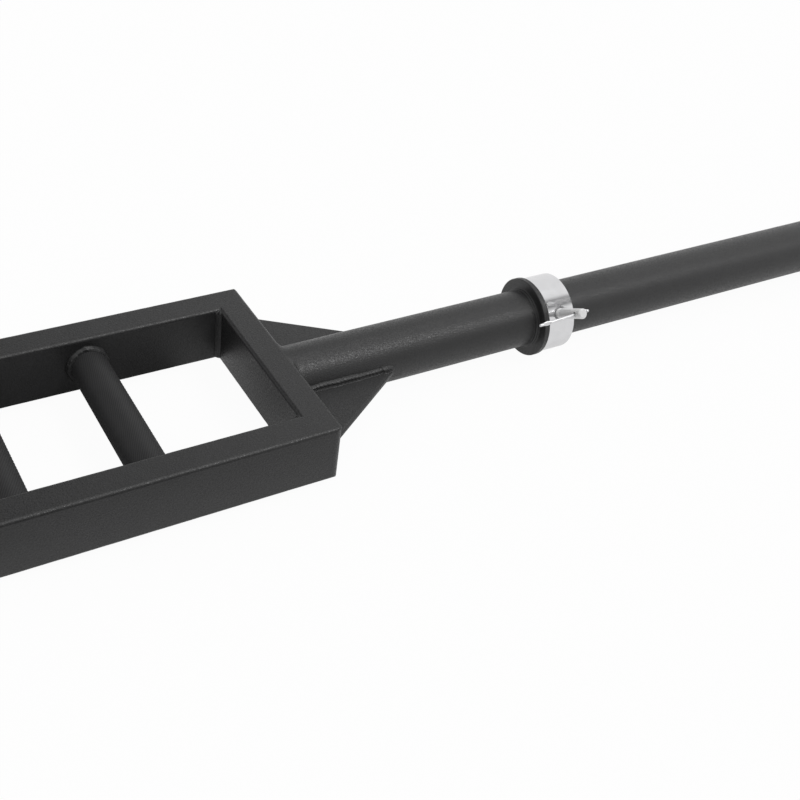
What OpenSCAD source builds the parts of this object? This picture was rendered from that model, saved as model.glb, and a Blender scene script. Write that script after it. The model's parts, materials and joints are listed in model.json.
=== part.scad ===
// Swiss bar: a pressing bar with a welded tube frame, six parallel grips and a
// loading sleeve at each end. X runs along the bar, Y from front to rear and Z up.
// The origin lies on the floor below the middle of the bar, which rests on its flanges.

/* [Frame] */
// Length of the frame over its end rails
frame_length = 874; // [820:1:1100]
// Depth of the frame over its long rails
frame_depth = 195; // [190:1:260]
// Height of the rail tube
rail_height = 50; // [40:1:60]
// Width of the rail tube
rail_width = 25; // [20:1:30]
// Wall of the rail tube
rail_wall = 2.5; // [1.5:0.1:4]
// Outside corner radius of the rail tube
rail_corner_r = 2.5; // [1.5:0.1:4]
// Radius that the upright outer corners of the frame are ground to
frame_corner_r = 3; // [1.5:0.1:6]

/* [Grips] */
// Distance between the two narrow grips
narrow_spread = 200; // [140:1:220]
// Distance between the two middle grips
middle_spread = 400; // [360:1:440]
// Distance between the two wide grips
wide_spread = 600; // [560:1:640]
// Outside diameter of a grip
grip_dia = 30; // [26:0.5:36]
// Wall of the grip tube
grip_wall = 3; // [2:0.1:5]

/* [Sleeves] */
// Outside diameter of the sleeve tube
sleeve_dia = 50; // [46:0.1:52]
// Wall of the sleeve tube
sleeve_wall = 4; // [3:0.1:6]
// Length of the sleeve tube from the frame to its free end
sleeve_reach = 655; // [500:1:760]
// Chamfer at the free end of the sleeve tube
sleeve_chamfer = 1; // [0.5:0.1:1.5]
// Width of the shallow groove that marks where the load begins
groove_width = 1.2; // [1:0.1:3]
// Depth of that groove
groove_depth = 0.4; // [0.3:0.1:0.8]

/* [Flanges] */
// Distance from the frame to the flange
flange_offset = 235; // [180:1:280]
// Thickness of the flange
flange_thick = 5; // [4:0.5:8]
// Diameter of the flange
flange_dia = 70; // [68:1:90]
// Broken edge of the flange
flange_chamfer = 0.5; // [0.2:0.1:1]

/* [Gussets] */
// Length of a gusset along the sleeve
gusset_run = 85; // [60:1:120]
// Distance of a gusset's outer corner from the sleeve axis
gusset_reach = 84.5; // [70:1:90]
// Thickness of the gusset plate
gusset_thick = 6; // [4:0.5:8]
// Blunt end of the gusset's two sharp corners
gusset_nose = 3; // [2:0.5:6]

/* [Collars] */
// Width of the ring collar
collar_width = 28; // [24:1:40]
// Outside diameter of the ring collar
collar_dia = 67; // [64:0.5:80]
// Chamfer on the outside edges of the ring collar
collar_chamfer = 0.8; // [0.4:0.1:1.5]
// Chamfer at the two mouths of its bore
bore_chamfer = 1; // [0.6:0.1:1.5]
// Clearance between its bore and the sleeve, on the radius
collar_gap = 0.5; // [0.3:0.1:1]
// Clearance between the collar and the flange
collar_rest_gap = 0.2; // [0.1:0.1:1]

/* [Clamp screws] */
// Angle of the clamp screw above the horizontal
screw_angle = 33; // [0:1:60]
// Diameter of the clamp screw
screw_dia = 9; // [8:0.5:12]
// Length of the clamp screw with its point
screw_length = 39.5; // [37:0.5:60]
// Clearance between the screw and its threaded hole, on the radius
screw_gap = 0.15; // [0.1:0.05:0.4]
// Clearance between the screw's point and the sleeve
screw_tip_gap = 0.25; // [0.1:0.05:0.5]
// Length of the plain point of the screw
point_length = 4; // [2:0.5:6]
// Diameter of the plain point
point_dia = 6.5; // [5:0.5:7]
// Chamfer at the head end of the screw
head_chamfer = 1.2; // [0.5:0.1:2]
// Distance of the cross hole from the head end
cross_hole_depth = 7.2; // [5:0.1:14]
// Diameter of the countersink in the ring around the screw
sink_dia = 13.6; // [12.5:0.1:16]
// Angle between the countersink's wall and the screw's axis
sink_half_angle = 60; // [45:1:70]

/* [Tommy bars] */
// Diameter of the tommy bar
tommy_dia = 2.4; // [2.2:0.1:4]
// Length of the tommy bar
tommy_length = 53.2; // [48:0.1:80]
// Clearance between the tommy bar and its cross hole, on the radius
tommy_gap = 0.2; // [0.1:0.05:0.4]
// Width of the pinched stretches that keep the bar in the screw
pinch_width = 3.7; // [3.4:0.1:6]
// Thickness of the pinched stretches
pinch_thick = 1.3; // [1:0.1:2]
// Length of the pinched stretch near the short end
near_pinch_length = 5; // [4:0.5:8]
// Distance from the short end's tip to the middle of its pinched stretch
near_pinch_inset = 4.3; // [4.1:0.1:8]
// Length of the pinched stretch near the long end
far_pinch_length = 10; // [5:0.5:12]
// Distance from the long end's tip to the middle of its pinched stretch
far_pinch_inset = 8.2; // [6.2:0.1:12]
// Tilt of the tommy bar away from the bar's own axis
tommy_tilt = 2.5; // [0:0.1:20]
// Clearance between the resting pinched end and the screw
pinch_rest_gap = 0.2; // [0.1:0.1:2]

/* [End plugs] */
// Thickness of the plug's cap
plug_cap = 4; // [3:0.5:8]
// Diameter that the cap stays below the sleeve by
plug_inset = 1; // [0.6:0.2:3]
// Length of the plug inside the sleeve
plug_depth = 22; // [16:1:40]
// Wall of the plug's skirt
plug_wall = 1.8; // [1.2:0.1:3]
// Height of the ribs round the skirt
plug_rib_height = 1.2; // [0.8:0.1:1.6]
// Width of one rib
plug_rib_width = 1.4; // [1:0.1:2]
// Distance from rib to rib
plug_rib_pitch = 4.5; // [3:0.5:6]
// Clearance between the ribs and the bore
plug_gap = 0.1; // [0.05:0.05:0.3]

/* [Welds] */
// Leg of the fillet weld round each grip
grip_weld_leg = 3; // [2:0.1:4]
// Leg of the fillet weld behind each flange
flange_weld_leg = 5.5; // [3:0.1:7]
// Leg of the fillet welds in the frame's inner corners
corner_weld_leg = 4.5; // [3:0.1:6]
// Radius of the bead along each gusset
gusset_bead_r = 3; // [2:0.1:4]
// Distance that a gusset's bead runs past its tip
gusset_bead_over = 1.5; // [0:0.1:3]
// Radius of the root bead between the sleeve and the frame
root_bead_r = 6.3; // [4:0.1:8]
// Depth that the middle of the root bead lies below the sleeve's surface
root_bead_sink = 3; // [1:0.1:4]
// Share of its leg that the middle of a fillet weld is sunk by, which flattens the bead
weld_flatness = 0.4; // [0.2:0.05:1]

/* [Hidden] */
$fn = 96;

LEFT = -1;
RIGHT = 1;
FRONT = -1;
REAR = 1;
SPREADS = [narrow_spread, middle_spread, wide_spread];
NARROW = 0;
MIDDLE = 1;
WIDE = 2;

// Amount by which a cutting body runs past what it cuts
cut_over = 1;

sleeve_r = sleeve_dia / 2;
sleeve_bore_r = sleeve_r - sleeve_wall;
grip_r = grip_dia / 2;
flange_r = flange_dia / 2;
collar_r = collar_dia / 2;
collar_bore_r = sleeve_r + collar_gap;
axis_height = max(flange_dia, rail_height, collar_dia) / 2;

half_length = frame_length / 2;
half_depth = frame_depth / 2;
inner_depth = frame_depth - 2 * rail_width;
rail_bore_corner_r = max(rail_corner_r - rail_wall, rail_wall / 5);
flat_half_height = rail_height / 2 - rail_corner_r;

flange_face = flange_offset + flange_thick;
collar_start = flange_face + collar_rest_gap;
collar_middle = collar_start + collar_width / 2;
collar_end = collar_start + collar_width;

screw_r = screw_dia / 2;
tapped_hole_r = screw_r + screw_gap;
screw_tip = sleeve_r + screw_tip_gap;
screw_top = screw_tip + screw_length;
cross_hole_at = screw_top - cross_hole_depth;
tommy_r = tommy_dia / 2;
cross_hole_r = tommy_r + tommy_gap;
sink_r = sink_dia / 2;

// The tommy bar's short end stops with its pinched stretch against the screw
tommy_short_end = screw_r + pinch_rest_gap + near_pinch_length / 2 + near_pinch_inset;
tommy_long_end = tommy_length - tommy_short_end;
pinch_root_r = tommy_r * 3 / 4;
pinch_flat_share = 0.55;
pinch_steps = 16;

paint = [0.20, 0.20, 0.205];
weld_paint = [0.17, 0.17, 0.175];
grip_paint = [0.15, 0.15, 0.155];
zinc = [0.84, 0.84, 0.85];
bright = [0.78, 0.78, 0.79];
black_plastic = [0.06, 0.06, 0.06];

// A rectangle with round corners, centred
module rounded_rect(width, height, r) {
    square([width - 2 * r, height], center = true);
    square([width, height - 2 * r], center = true);
    for (x = [-1, 1], y = [-1, 1])
        translate([x * (width / 2 - r), y * (height / 2 - r)])
            circle(r = r);
}

// Section of the rail tube, width along x and height along y
module rail_section() {
    difference() {
        rounded_rect(rail_width, rail_height, rail_corner_r);
        rounded_rect(rail_width - 2 * rail_wall, rail_height - 2 * rail_wall, rail_bore_corner_r);
    }
}

// Section of a weld bead in the corner between the two axes of the plane
module fillet_section(leg) {
    sink = leg * weld_flatness;
    intersection() {
        square(leg + sink);
        translate([-sink, -sink])
            circle(r = norm([leg + sink, sink]));
    }
}

// A prism that stands on the frame's footprint between the given corner points
module upright_prism(points) {
    translate([0, 0, axis_height - rail_height])
        linear_extrude(2 * rail_height)
            polygon(points);
}

// What lies outside the ground upright corner of the frame at the given end and side
module ground_corner(end, side) {
    centre_x = end * (half_length - frame_corner_r);
    centre_y = side * (half_depth - frame_corner_r);
    block = frame_corner_r + cut_over;
    translate([centre_x, centre_y, axis_height - rail_height])
        difference() {
            translate([min(0, end * block), min(0, side * block), 0])
                cube([block, block, 2 * rail_height]);
            translate([0, 0, -cut_over])
                cylinder(r = frame_corner_r, h = 2 * rail_height + 2 * cut_over);
        }
}

// A long rail, mitred at both ends
module long_rail(side) {
    outer = side * half_depth;
    inner = side * (half_depth - rail_width);
    short = half_length - rail_width;
    difference() {
        intersection() {
            translate([0, (outer + inner) / 2, axis_height])
                rotate([90, 0, 90])
                    linear_extrude(frame_length, center = true)
                        rail_section();
            upright_prism([
                [-half_length, outer], [half_length, outer],
                [short, inner], [-short, inner]
            ]);
        }
        ground_corner(LEFT, side);
        ground_corner(RIGHT, side);
    }
}

// A short rail across the end of the frame, mitred at both ends
module end_rail(end) {
    outer = end * half_length;
    inner = end * (half_length - rail_width);
    short = half_depth - rail_width;
    difference() {
        intersection() {
            translate([(outer + inner) / 2, 0, axis_height])
                rotate([90, 0, 0])
                    linear_extrude(frame_depth, center = true)
                        rail_section();
            upright_prism([
                [outer, -half_depth], [outer, half_depth],
                [inner, short], [inner, -short]
            ]);
        }
        ground_corner(end, FRONT);
        ground_corner(end, REAR);
    }
}

module front_rail() {
    color(paint)
        long_rail(FRONT);
}

module rear_rail() {
    color(paint)
        long_rail(REAR);
}

module left_end_rail() {
    color(paint)
        end_rail(LEFT);
}

module right_end_rail() {
    color(paint)
        end_rail(RIGHT);
}

// The axis of a grip, running from the front rail to the rear rail
module at_grip(end, which) {
    translate([end * SPREADS[which] / 2, -inner_depth / 2, axis_height])
        rotate([-90, 0, 0])
            children();
}

// A grip tube, cut square to stand between the long rails
module grip(end, which) {
    color(grip_paint)
        at_grip(end, which)
            difference() {
                cylinder(r = grip_r, h = inner_depth);
                translate([0, 0, -cut_over])
                    cylinder(r = grip_r - grip_wall, h = inner_depth + 2 * cut_over);
            }
}

module left_wide_grip() {
    grip(LEFT, WIDE);
}

module left_middle_grip() {
    grip(LEFT, MIDDLE);
}

module left_narrow_grip() {
    grip(LEFT, NARROW);
}

module right_narrow_grip() {
    grip(RIGHT, NARROW);
}

module right_middle_grip() {
    grip(RIGHT, MIDDLE);
}

module right_wide_grip() {
    grip(RIGHT, WIDE);
}

// The sleeve axis of one end: x = 0 on the end rail's outer face, x outwards
module at_end(end) {
    if (end == LEFT)
        mirror([1, 0, 0])
            translate([half_length, 0, axis_height])
                children();
    else
        translate([half_length, 0, axis_height])
            children();
}

// Turns a profile drawn as [radius, distance] round the sleeve axis
module turned_on_sleeve() {
    rotate([0, 90, 0])
        rotate_extrude()
            children();
}

// A plain round body on the sleeve axis
module round_on_sleeve(start, end, r) {
    translate([start, 0, 0])
        rotate([0, 90, 0])
            cylinder(r = r, h = end - start);
}

// The sleeve tube, with its load mark and its broken outer edge
module sleeve_tube(end) {
    groove_start = collar_end - groove_width;
    color(paint)
        at_end(end)
            turned_on_sleeve()
                polygon([
                    [sleeve_bore_r, 0],
                    [sleeve_r, 0],
                    [sleeve_r, groove_start],
                    [sleeve_r - groove_depth, groove_start],
                    [sleeve_r - groove_depth, collar_end],
                    [sleeve_r, collar_end],
                    [sleeve_r, sleeve_reach - sleeve_chamfer],
                    [sleeve_r - sleeve_chamfer, sleeve_reach],
                    [sleeve_bore_r, sleeve_reach]
                ]);
}

module left_sleeve_tube() {
    sleeve_tube(LEFT);
}

module right_sleeve_tube() {
    sleeve_tube(RIGHT);
}

// The body of a gusset plate before the sleeve is cut out of it
module gusset_blank(side) {
    root = sleeve_r - gusset_thick;
    translate([0, 0, -gusset_thick / 2])
        linear_extrude(gusset_thick)
            polygon([
                [0, side * root],
                [gusset_run, side * root],
                [gusset_run, side * (sleeve_r + gusset_nose)],
                [gusset_nose, side * gusset_reach],
                [0, side * gusset_reach]
            ]);
}

// A three-cornered plate that fits the sleeve and the end rail
module gusset(end, side) {
    color(paint)
        at_end(end)
            difference() {
                gusset_blank(side);
                round_on_sleeve(-cut_over, gusset_run + cut_over, sleeve_r);
            }
}

module left_front_gusset() {
    gusset(LEFT, FRONT);
}

module left_rear_gusset() {
    gusset(LEFT, REAR);
}

module right_front_gusset() {
    gusset(RIGHT, FRONT);
}

module right_rear_gusset() {
    gusset(RIGHT, REAR);
}

// The stop disc that the plates and the collar rest against
module flange(end) {
    color(paint)
        at_end(end)
            turned_on_sleeve()
                polygon([
                    [sleeve_r, flange_offset],
                    [flange_r - flange_chamfer, flange_offset],
                    [flange_r, flange_offset + flange_chamfer],
                    [flange_r, flange_face - flange_chamfer],
                    [flange_r - flange_chamfer, flange_face],
                    [sleeve_r, flange_face]
                ]);
}

module left_flange() {
    flange(LEFT);
}

module right_flange() {
    flange(RIGHT);
}

// A push-in plug with ribs round its hollow skirt
module end_plug(end) {
    rib_r = sleeve_bore_r - plug_gap;
    skirt_r = rib_r - plug_rib_height;
    cap_r = sleeve_r - plug_inset;
    edge = plug_cap / 3;
    rib_count = floor((plug_depth - plug_rib_width) / plug_rib_pitch);
    color(black_plastic)
        at_end(end)
            translate([sleeve_reach, 0, 0])
                turned_on_sleeve()
                    union() {
                        polygon([
                            [0, 0],
                            [cap_r, 0],
                            [cap_r, plug_cap - edge],
                            [cap_r - edge, plug_cap],
                            [0, plug_cap]
                        ]);
                        translate([skirt_r - plug_wall, -plug_depth])
                            square([plug_wall, plug_depth + edge]);
                        for (i = [0 : rib_count - 1])
                            translate([skirt_r - plug_wall / 2, -plug_depth + i * plug_rib_pitch])
                                polygon([
                                    [0, 0],
                                    [plug_wall / 2, 0],
                                    [plug_wall / 2 + plug_rib_height, plug_rib_width / 2],
                                    [plug_wall / 2 + plug_rib_height, plug_rib_width],
                                    [0, plug_rib_width]
                                ]);
                    }
}

module left_end_plug() {
    end_plug(LEFT);
}

module right_end_plug() {
    end_plug(RIGHT);
}

// The clamp screw's axis, pointing out of the sleeve's axis towards the head
module at_screw(end) {
    at_end(end)
        translate([collar_middle, 0, 0])
            rotate([90 - screw_angle, 0, 0])
                children();
}

// The ring collar, with the countersunk hole for its clamp screw
module collar_ring(end) {
    sink_width = sink_r - tapped_hole_r;
    sink_depth = sink_width / tan(sink_half_angle);
    rim_drop = collar_r - sqrt(collar_r * collar_r - sink_r * sink_r);
    sink_floor = collar_r - rim_drop - sink_depth;
    color(zinc)
        difference() {
            at_end(end)
                turned_on_sleeve()
                    polygon([
                        [collar_bore_r + bore_chamfer, collar_start],
                        [collar_r - collar_chamfer, collar_start],
                        [collar_r, collar_start + collar_chamfer],
                        [collar_r, collar_end - collar_chamfer],
                        [collar_r - collar_chamfer, collar_end],
                        [collar_bore_r + bore_chamfer, collar_end],
                        [collar_bore_r, collar_end - bore_chamfer],
                        [collar_bore_r, collar_start + bore_chamfer]
                    ]);
            at_screw(end)
                union() {
                    cylinder(r = tapped_hole_r, h = screw_top);
                    translate([0, 0, sink_floor])
                        cylinder(
                            r1 = tapped_hole_r,
                            r2 = tapped_hole_r + 2 * sink_width,
                            h = 2 * sink_depth
                        );
                }
        }
}

module left_collar_ring() {
    collar_ring(LEFT);
}

module right_collar_ring() {
    collar_ring(RIGHT);
}

// The tommy bar's axis through the cross hole, pointing away from the frame
module at_tommy(end) {
    at_screw(end)
        translate([0, 0, cross_hole_at])
            rotate([0, 0, tommy_tilt])
                rotate([0, 90, 0])
                    children();
}

// The clamp screw, with a plain point, a chamfered head end and a cross hole
module clamp_screw(end) {
    point_r = point_dia / 2;
    shoulder = screw_r - point_r;
    point_edge = point_r / 4;
    color(bright)
        difference() {
            at_screw(end)
                rotate_extrude()
                    polygon([
                        [0, screw_tip],
                        [point_r - point_edge, screw_tip],
                        [point_r, screw_tip + point_edge],
                        [point_r, screw_tip + point_length - shoulder],
                        [screw_r, screw_tip + point_length],
                        [screw_r, screw_top - head_chamfer],
                        [screw_r - head_chamfer, screw_top],
                        [0, screw_top]
                    ]);
            at_tommy(end)
                cylinder(r = cross_hole_r, h = 4 * screw_r, center = true);
        }
}

module left_clamp_screw() {
    clamp_screw(LEFT);
}

module right_clamp_screw() {
    clamp_screw(RIGHT);
}

// Half the width of a pinched stretch at a share of its length: it starts inside the rod, swells
// along a squared sine to the full width in the middle, and falls back
function pinch_half_width(share) =
    pinch_root_r + (pinch_width / 2 - pinch_root_r) * pow(sin(180 * share), 2);

// A pinched stretch of the tommy bar, where the rod was pressed flat and wide
module pinch(length) {
    rotate([90, 0, 90])
        linear_extrude(pinch_thick, center = true)
            polygon([
                for (i = [0 : pinch_steps])
                    let (share = i / pinch_steps)
                        [pinch_half_width(share), length * (share - 1 / 2)],
                for (i = [0 : pinch_steps])
                    let (share = 1 - i / pinch_steps)
                        [-pinch_half_width(share), length * (share - 1 / 2)]
            ]);
}

// The room on both faces of a pinched stretch, where the rod was pressed away
module pinch_hollow(length) {
    for (side = [-1, 1])
        translate([side * (pinch_thick + tommy_dia) / 2, 0, 0])
            cube([tommy_dia, pinch_width, length * pinch_flat_share], center = true);
}

// The sliding handle of the clamp screw, pinched near both ends
module tommy_bar(end) {
    edge = tommy_r / 4;
    near = [tommy_short_end - near_pinch_inset, near_pinch_length];
    far = [far_pinch_inset - tommy_long_end, far_pinch_length];
    color(bright)
        at_tommy(end)
            union() {
                difference() {
                    rotate_extrude()
                        polygon([
                            [0, -tommy_long_end],
                            [tommy_r - edge, -tommy_long_end],
                            [tommy_r, edge - tommy_long_end],
                            [tommy_r, tommy_short_end - edge],
                            [tommy_r - edge, tommy_short_end],
                            [0, tommy_short_end]
                        ]);
                    for (stretch = [near, far])
                        translate([0, 0, stretch[0]])
                            pinch_hollow(stretch[1]);
                }
                for (stretch = [near, far])
                    translate([0, 0, stretch[0]])
                        pinch(stretch[1]);
            }
}

module left_tommy_bar() {
    tommy_bar(LEFT);
}

module right_tommy_bar() {
    tommy_bar(RIGHT);
}

// Upright fillet welds in the four inner corners of the frame
module frame_corner_welds() {
    color(weld_paint)
        for (x = [-1, 1], y = [-1, 1])
            translate([
                x * (half_length - rail_width),
                y * (half_depth - rail_width),
                axis_height - flat_half_height
            ])
                mirror([x > 0 ? 1 : 0, 0, 0])
                    mirror([0, y > 0 ? 1 : 0, 0])
                        linear_extrude(2 * flat_half_height)
                            fillet_section(corner_weld_leg);
}

// Ring welds where the grips meet one long rail
module grip_welds(side) {
    color(weld_paint)
        for (end = [LEFT, RIGHT], which = [NARROW, MIDDLE, WIDE])
            translate([end * SPREADS[which] / 2, side * inner_depth / 2, axis_height])
                rotate([side * 90, 0, 0])
                    rotate_extrude()
                        translate([grip_r, 0])
                            fillet_section(grip_weld_leg);
}

module front_grip_welds() {
    grip_welds(FRONT);
}

module rear_grip_welds() {
    grip_welds(REAR);
}

// The full round of the root bead, before its neighbours are cut out of it
module root_blank() {
    turned_on_sleeve()
        translate([sleeve_r - root_bead_sink, 0])
            circle(r = root_bead_r);
}

// The end rail and the sleeve as solid bodies, for cutting welds to fit
module end_rail_blank() {
    translate([-rail_width / 2, 0, 0])
        rotate([90, 0, 0])
            linear_extrude(frame_depth, center = true)
                rounded_rect(rail_width, rail_height, rail_corner_r);
}

module sleeve_blank() {
    round_on_sleeve(0, flange_offset, sleeve_r);
}

// The bead between the sleeve and the end rail, which wraps over the rail's edges
module root_weld(end) {
    color(weld_paint)
        at_end(end)
            difference() {
                root_blank();
                end_rail_blank();
                sleeve_blank();
                round_on_sleeve(-rail_width, 0, sleeve_bore_r);
                gusset_blank(FRONT);
                gusset_blank(REAR);
            }
}

module left_root_weld() {
    root_weld(LEFT);
}

module right_root_weld() {
    root_weld(RIGHT);
}

// The beads round one gusset: along the sleeve, round the tip and along the end rail
module gusset_bead(side) {
    tip = gusset_run + gusset_bead_over;
    bead_reach = gusset_reach - gusset_bead_r;
    for (face = [-1, 1])
        translate([0, 0, face * gusset_thick / 2]) {
            translate([0, side * sleeve_r, 0]) {
                rotate([0, 90, 0])
                    cylinder(r = gusset_bead_r, h = tip);
                translate([tip, 0, 0])
                    sphere(r = gusset_bead_r);
            }
            rotate([-90 * side, 0, 0])
                cylinder(r = gusset_bead_r, h = bead_reach);
            translate([0, side * bead_reach, 0])
                sphere(r = gusset_bead_r);
        }
    translate([tip, side * sleeve_r, -gusset_thick / 2])
        cylinder(r = gusset_bead_r, h = gusset_thick);
}

module gusset_welds(end) {
    color(weld_paint)
        at_end(end)
            difference() {
                union() {
                    gusset_bead(FRONT);
                    gusset_bead(REAR);
                }
                end_rail_blank();
                sleeve_blank();
                root_blank();
                gusset_blank(FRONT);
                gusset_blank(REAR);
            }
}

module left_gusset_welds() {
    gusset_welds(LEFT);
}

module right_gusset_welds() {
    gusset_welds(RIGHT);
}

// The fillet weld on the frame's side of a flange
module flange_weld(end) {
    color(weld_paint)
        at_end(end)
            turned_on_sleeve()
                translate([sleeve_r, flange_offset])
                    mirror([0, 1])
                        fillet_section(flange_weld_leg);
}

module left_flange_weld() {
    flange_weld(LEFT);
}

module right_flange_weld() {
    flange_weld(RIGHT);
}

front_rail();
rear_rail();
left_end_rail();
right_end_rail();
left_wide_grip();
left_middle_grip();
left_narrow_grip();
right_narrow_grip();
right_middle_grip();
right_wide_grip();
left_sleeve_tube();
right_sleeve_tube();
left_front_gusset();
left_rear_gusset();
right_front_gusset();
right_rear_gusset();
left_flange();
right_flange();
left_end_plug();
right_end_plug();
left_collar_ring();
right_collar_ring();
left_clamp_screw();
right_clamp_screw();
left_tommy_bar();
right_tommy_bar();
frame_corner_welds();
front_grip_welds();
rear_grip_welds();
left_root_weld();
right_root_weld();
left_gusset_welds();
right_gusset_welds();
left_flange_weld();
right_flange_weld();
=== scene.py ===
"""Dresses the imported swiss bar: knurl, weld beads, threads, finishes, studio and camera."""
import json
import logging
import math
from dataclasses import dataclass
from enum import Enum
from typing import NamedTuple

import bpy
import numpy as np
from mathutils import Matrix, Vector

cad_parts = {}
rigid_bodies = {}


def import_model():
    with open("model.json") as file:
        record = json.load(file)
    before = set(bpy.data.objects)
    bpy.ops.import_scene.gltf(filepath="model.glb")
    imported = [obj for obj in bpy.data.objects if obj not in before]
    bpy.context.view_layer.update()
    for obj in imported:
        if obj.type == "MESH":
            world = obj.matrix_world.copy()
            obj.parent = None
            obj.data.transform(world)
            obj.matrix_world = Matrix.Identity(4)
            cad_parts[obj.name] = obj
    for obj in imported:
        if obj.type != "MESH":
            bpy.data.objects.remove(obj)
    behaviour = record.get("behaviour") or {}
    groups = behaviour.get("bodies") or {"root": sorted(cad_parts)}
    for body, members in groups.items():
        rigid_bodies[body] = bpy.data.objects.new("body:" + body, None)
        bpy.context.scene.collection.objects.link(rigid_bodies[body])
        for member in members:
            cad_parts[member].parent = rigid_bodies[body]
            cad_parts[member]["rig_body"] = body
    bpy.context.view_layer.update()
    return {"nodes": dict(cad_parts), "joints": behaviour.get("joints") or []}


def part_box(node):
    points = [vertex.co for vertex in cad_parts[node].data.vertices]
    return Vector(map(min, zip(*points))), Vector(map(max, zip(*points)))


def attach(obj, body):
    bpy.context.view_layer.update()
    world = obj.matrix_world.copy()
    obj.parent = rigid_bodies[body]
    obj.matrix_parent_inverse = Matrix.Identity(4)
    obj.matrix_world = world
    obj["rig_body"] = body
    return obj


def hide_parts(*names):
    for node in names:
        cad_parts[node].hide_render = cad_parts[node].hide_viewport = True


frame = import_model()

LOG = logging.getLogger("swiss_bar")

MM = 0.001
QUARTER = math.pi / 2
WHOLE = 2 * math.pi
CREASE = math.radians(35)
SOFT_CREASE = math.radians(60)

Array = np.ndarray
Socket = bpy.types.NodeSocket
Colour = tuple[float, float, float]
Outline = tuple[tuple[float, float], ...]

X_AXIS, Y_AXIS, Z_AXIS = np.eye(3)


class Signed(Enum):
    """A choice whose value is a sign along one of the axes."""

    @property
    def word(self) -> str:
        """The choice's name as the frame's nodes and bodies spell it."""
        return self.name.lower()


class End(Signed):
    """The two ends of the bar, with the sign of X there."""

    LEFT = -1
    RIGHT = 1


class Side(Signed):
    """The two long sides of the bar, with the sign of Y there."""

    FRONT = -1
    REAR = 1


def box_of(node: str) -> tuple[Array, Array]:
    """Reads a node's box off the frame.

    Args:
        node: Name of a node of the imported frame.

    Returns:
        Its lowest and its highest corner, in metres.
    """
    low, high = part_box(node)
    return np.array(low), np.array(high)


def joint_of(name: str) -> dict:
    """Finds a joint of the frame by its name."""
    return next(j for j in frame["joints"] if j["name"] == name)


class Datum:
    """Places that several pieces share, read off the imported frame."""

    def __init__(self) -> None:
        """Reads the boxes of the rails, the tube and the flange."""
        rail_low, rail_high = box_of("front_rail")
        end_low, end_high = box_of("right_end_rail")
        tube_low, tube_high = box_of("right_sleeve_tube")
        flange_low, _ = box_of("right_flange")
        self.axis_height: float = float(tube_low[2] + tube_high[2]) / 2
        self.rail_half_height: float = float(rail_high[2] - rail_low[2]) / 2
        self.rail_inner_y: float = float(-rail_high[1])
        self.rail_outer_y: float = float(-rail_low[1])
        self.end_face_x: float = float(end_high[0])
        self.end_inner_x: float = float(end_low[0])
        self.tube_radius: float = float(tube_high[1] - tube_low[1]) / 2
        self.flange_back_x: float = float(flange_low[0])

    def at(self, x: float, y: float = 0.0) -> Array:
        """A point at the height of the sleeve's axis."""
        return np.array([x, y, self.axis_height])


def grid_faces(rows: int, columns: int, ring: bool) -> Array:
    """Quads between neighbouring rows of a grid whose columns close round.

    Args:
        rows: Number of rows of points.
        columns: Number of points in one row.
        ring: Whether the last row joins the first.

    Returns:
        Corner numbers, one line of four for each quad.
    """
    last = rows if ring else rows - 1
    row = np.arange(last)[:, None]
    column = np.arange(columns)[None, :]
    following = (row + 1) % rows
    beside = (column + 1) % columns
    corners = (
        row * columns + column,
        row * columns + beside,
        following * columns + beside,
        following * columns + column,
    )
    return np.stack([np.broadcast_to(c, (last, columns)) for c in corners], -1).reshape(-1, 4)


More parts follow.
